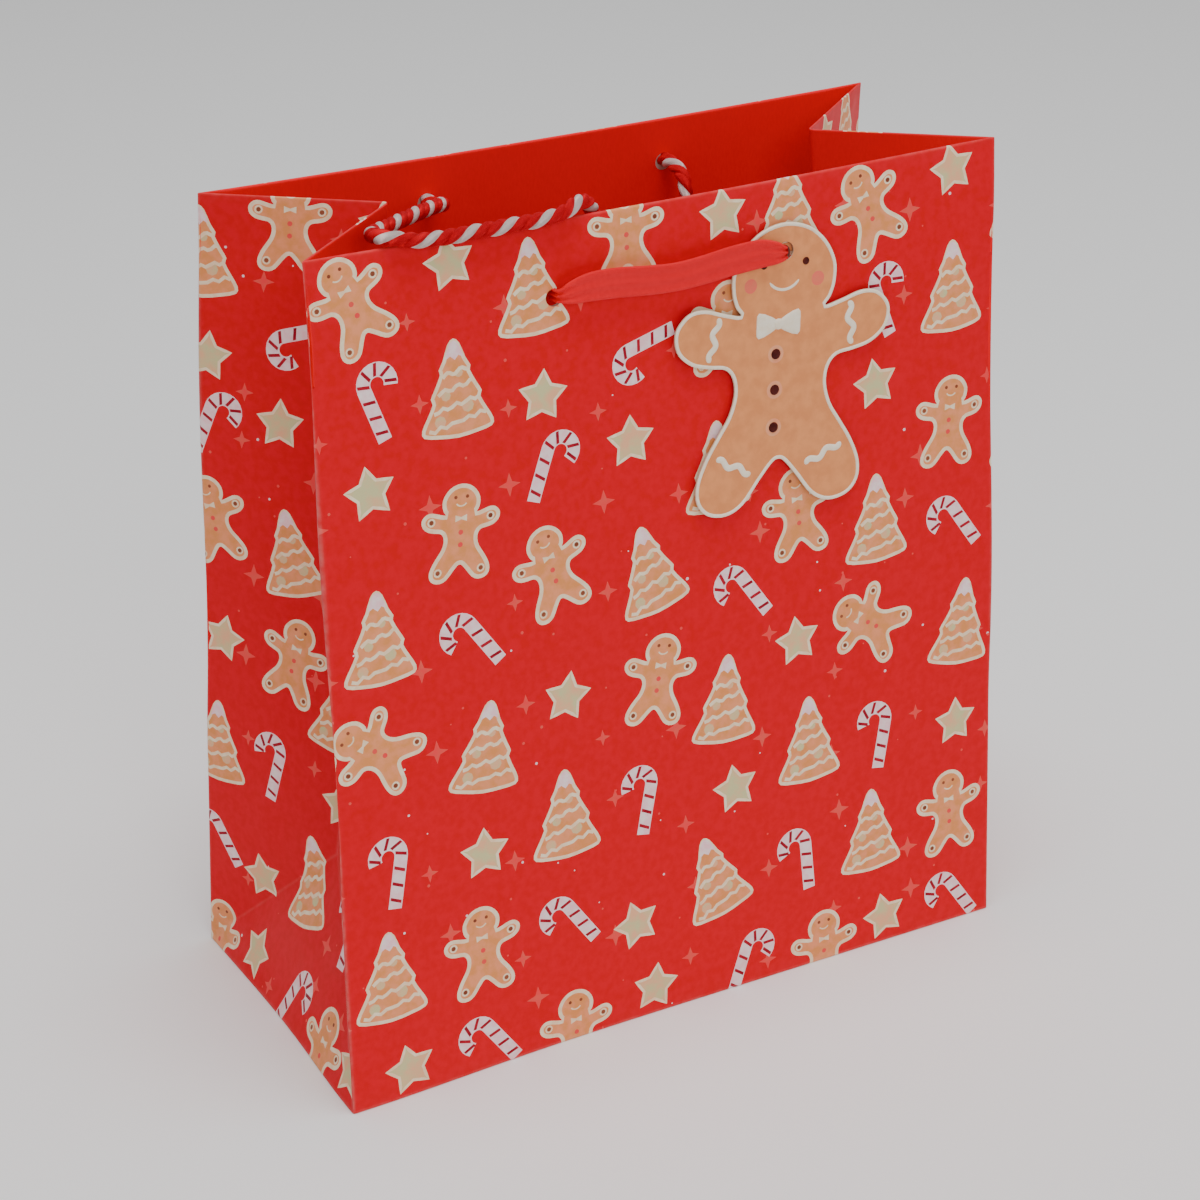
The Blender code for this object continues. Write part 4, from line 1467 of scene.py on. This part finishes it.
def tag_drawing():
    border = rounded(mirrored(FIGURE_HALF), 4)
    drawing = Drawing()
    drawing.add_shape(border, "icing")
    drawing.add_shape(inset(border, TAG_BORDER), "cookie")
    for centre in TAG_CHEEKS:
        drawing.add_shape(circle(centre, 2.2, 18), "sparkle")
    for centre in TAG_BUTTONS:
        drawing.add_shape(circle(centre, 2.7, 18), "candy")
    drawing.add_ring(circle((0, 0), TAG_HOLE, 28))
    for i in range(-9, 10):
        for j in range(-20, 4):
            drawing.add_points([(i * 4.1 + 0.3 * (j % 2), j * 4.0)])

    def keep(centres):
        inside = np.hypot(centres[:, 0], centres[:, 1]) > TAG_HOLE * HOLE_SHARE
        return inside & inside_outline(centres, np.array(border))

    return drawing.triangles(keep)


def inside_outline(points, border):
    """Which points lie inside a closed outline, by counting the edges to their right."""
    x, y = points[:, 0], points[:, 1]
    inside = np.zeros(len(points), dtype=bool)
    for (x0, y0), (x1, y1) in zip(border, np.roll(border, -1, axis=0)):
        if y0 == y1:
            continue
        crossing = (y0 > y) != (y1 > y)
        inside ^= crossing & (x < (x1 - x0) * (y - y0) / (y1 - y0) + x0)
    return inside


def icing_bead(line, width, height, closed=False):
    """Vertices and faces of a rounded line of icing on the tag's face."""
    line = np.array(line)
    if closed:
        along = unit(np.roll(line, -1, axis=0) - np.roll(line, 1, axis=0))
    else:
        along = unit(np.gradient(line, axis=0))
    side = np.stack([-along[:, 1], along[:, 0]], axis=1)
    profile = [(math.cos(math.radians(k)), math.sin(math.radians(k))) for k in range(0, 181, 30)]
    vertices = []
    for i in range(len(line)):
        taper = 1.0 if closed else min(1.0, 0.35 + 0.5 * min(i, len(line) - 1 - i))
        for across, rise in profile:
            spot = line[i] + side[i] * across * width / 2 * taper
            out = TAG_FACE - ICING_SUNK + rise * height * taper
            vertices.append(tag_place([spot[0]], [spot[1]], [out])[0])
    if closed:
        return vertices, ring_faces(len(line), len(profile), closed=True)
    return vertices, tube_faces(len(line), len(profile))


def icing_patch(points, height):
    """Vertices and faces of a raised, domed patch of icing."""
    if signed_area(points) < 0:
        points = list(reversed(points))
    count = len(points)
    middle = (sum(p[0] for p in points) / count, sum(p[1] for p in points) / count)
    vertices = []
    levels = ((1.0, -ICING_SUNK), (0.97, 0.35 * height), (0.86, 0.75 * height), (0.6, 0.96 * height))
    for grow, rise in levels:
        ring = [(middle[0] + (a - middle[0]) * grow, middle[1] + (b - middle[1]) * grow) for a, b in points]
        vertices.extend(tag_place([p[0] for p in ring], [p[1] for p in ring], [TAG_FACE + rise] * count))
    vertices.extend(tag_place([middle[0]], [middle[1]], [TAG_FACE + height]))
    faces = ring_faces(len(levels), count)
    last = (len(levels) - 1) * count
    for i in range(count):
        faces.append([last + i, last + (i + 1) % count, len(levels) * count])
    faces.append(list(reversed(range(count))))
    return vertices, faces


def wavy(start, end, waves, swing):
    """A wavy line between two points."""
    start, end = Vector(start), Vector(end)
    across = Vector((-(end - start).y, (end - start).x)).normalized()
    line = []
    for i in range(33):
        t = i / 32
        line.append(tuple(start + (end - start) * t + across * swing * math.sin(2 * math.pi * waves * t)))
    return line


def join_pieces(parts):
    vertices, faces = [], []
    for part_vertices, part_faces in parts:
        first = len(vertices)
        vertices.extend(part_vertices)
        faces.extend([[first + i for i in face] for face in part_faces])
    return vertices, faces


def add_tag(materials, icing, button):
    def place(u, v, face):
        return tag_place(u / MM, v / MM, np.full(len(u), TAG_FACE if face == 0 else TAG_BACK))

    card = thick_sheet("die_cut_tag", tag_drawing(), place, materials)
    border = inset(rounded(mirrored(FIGURE_HALF), 4), TAG_BORDER / 2)
    parts = [icing_bead(border, TAG_BORDER * 0.9, 0.00028, closed=True)]
    for side in (-1, 1):
        for start, end, swing in TAG_CUFFS:
            cuff = wavy((side * start[0], start[1]), (side * end[0], end[1]), 2, swing)
            parts.append(icing_bead(cuff, 2.0, 0.0003))
    for half in (-1, 1):
        wing = [(TAG_BOW[0] + half * a, TAG_BOW[1] + b) for a, b in BOW_WING]
        parts.append(icing_patch(rounded(wing, 3), 0.0004))
    parts.append(icing_patch(circle(TAG_BOW, 1.7, 16), 0.0006))
    parts.append(icing_bead(smile(6.2, 6.0, -5.4, 0.95, 17), 0.9, 0.0002))
    lines = add_mesh("tag_icing", *join_pieces(parts), [icing])
    dots = [icing_patch(circle(centre, 1.6, 18), 0.0004) for centre in TAG_BUTTONS]
    dots += [icing_patch(circle(centre, 1.15, 16), 0.0003) for centre in TAG_EYES]
    buttons = add_mesh("tag_buttons_and_eyes", *join_pieces(dots), [button])
    declare(card, "tag", "tag_card", "gift_tag")
    declare(lines, "tag", "tag_card")
    declare(buttons, "tag", "tag_card")


def tag_materials():
    """The tag card's materials, in the order of INK_NAMES."""
    cookie = ink("tag_cookie", (0.46, 0.62), 260.0, worn=False)
    chosen = {
        "icing": ink("tag_border", (0.4, 0.5), worn=False),
        "sparkle": ink("tag_blush", (0.46, 0.6), worn=False),
        "candy": ink("tag_ring", (0.46, 0.6), worn=False),
        "inside": bare_paper("tag_back"),
        "edge": bare_paper("tag_edge"),
    }
    return [chosen.get(name, cookie) for name in INK_NAMES]


# ---------------------------------------------------------------- stage
def add_stage():
    reach = FLOOR_REACH
    nodes = Nodes("pale_floor")
    nodes.shader.inputs["Base Color"].default_value = FLOOR_COLOUR
    nodes.shader.inputs["Roughness"].default_value = 0.9
    corners = [(-reach, -reach, 0), (reach, -reach, 0), (reach, reach, 0), (-reach, reach, 0)]
    add_mesh("floor", corners, [[0, 1, 2, 3]], [nodes.material])
    world = bpy.data.worlds.new("pale")
    world.use_nodes = True
    background = world.node_tree.nodes["Background"]
    background.inputs["Color"].default_value = (1, 1, 1, 1)
    background.inputs["Strength"].default_value = WORLD_STRENGTH
    bpy.context.scene.world = world
    for name, place, size, power in LIGHTS:
        light = bpy.data.objects.new(name, bpy.data.lights.new(name, "AREA"))
        light.data.shape = "DISK"
        light.data.size = size
        light.data.energy = power
        light.location = place
        light.rotation_euler = (LIGHT_TARGET - Vector(place)).to_track_quat("-Z", "Y").to_euler()
        bpy.context.scene.collection.objects.link(light)


# ---------------------------------------------------------------- making it all
grey_board = board("grey_board")
printed = sleeve_materials()
add_handles([yarn("red_yarn"), yarn("white_yarn")])
add_ribbon(satin("ribbon_satin"))
add_sleeve(printed)
add_cards(grey_board)
wall_piece("glued_seam_tab", "side_seam_tab", 1, [], printed, "inner_paper")
add_bottom(bare_paper("flap_red"), grey_board)
add_handle_ends(ink("bar_plastic", worn=False))
piped_icing = ink("piped_icing", (0.34, 0.46), worn=False, gloss=0.3)
add_tag(tag_materials(), piped_icing, ink("dark_icing", (0.3, 0.4), worn=False))
add_stage()
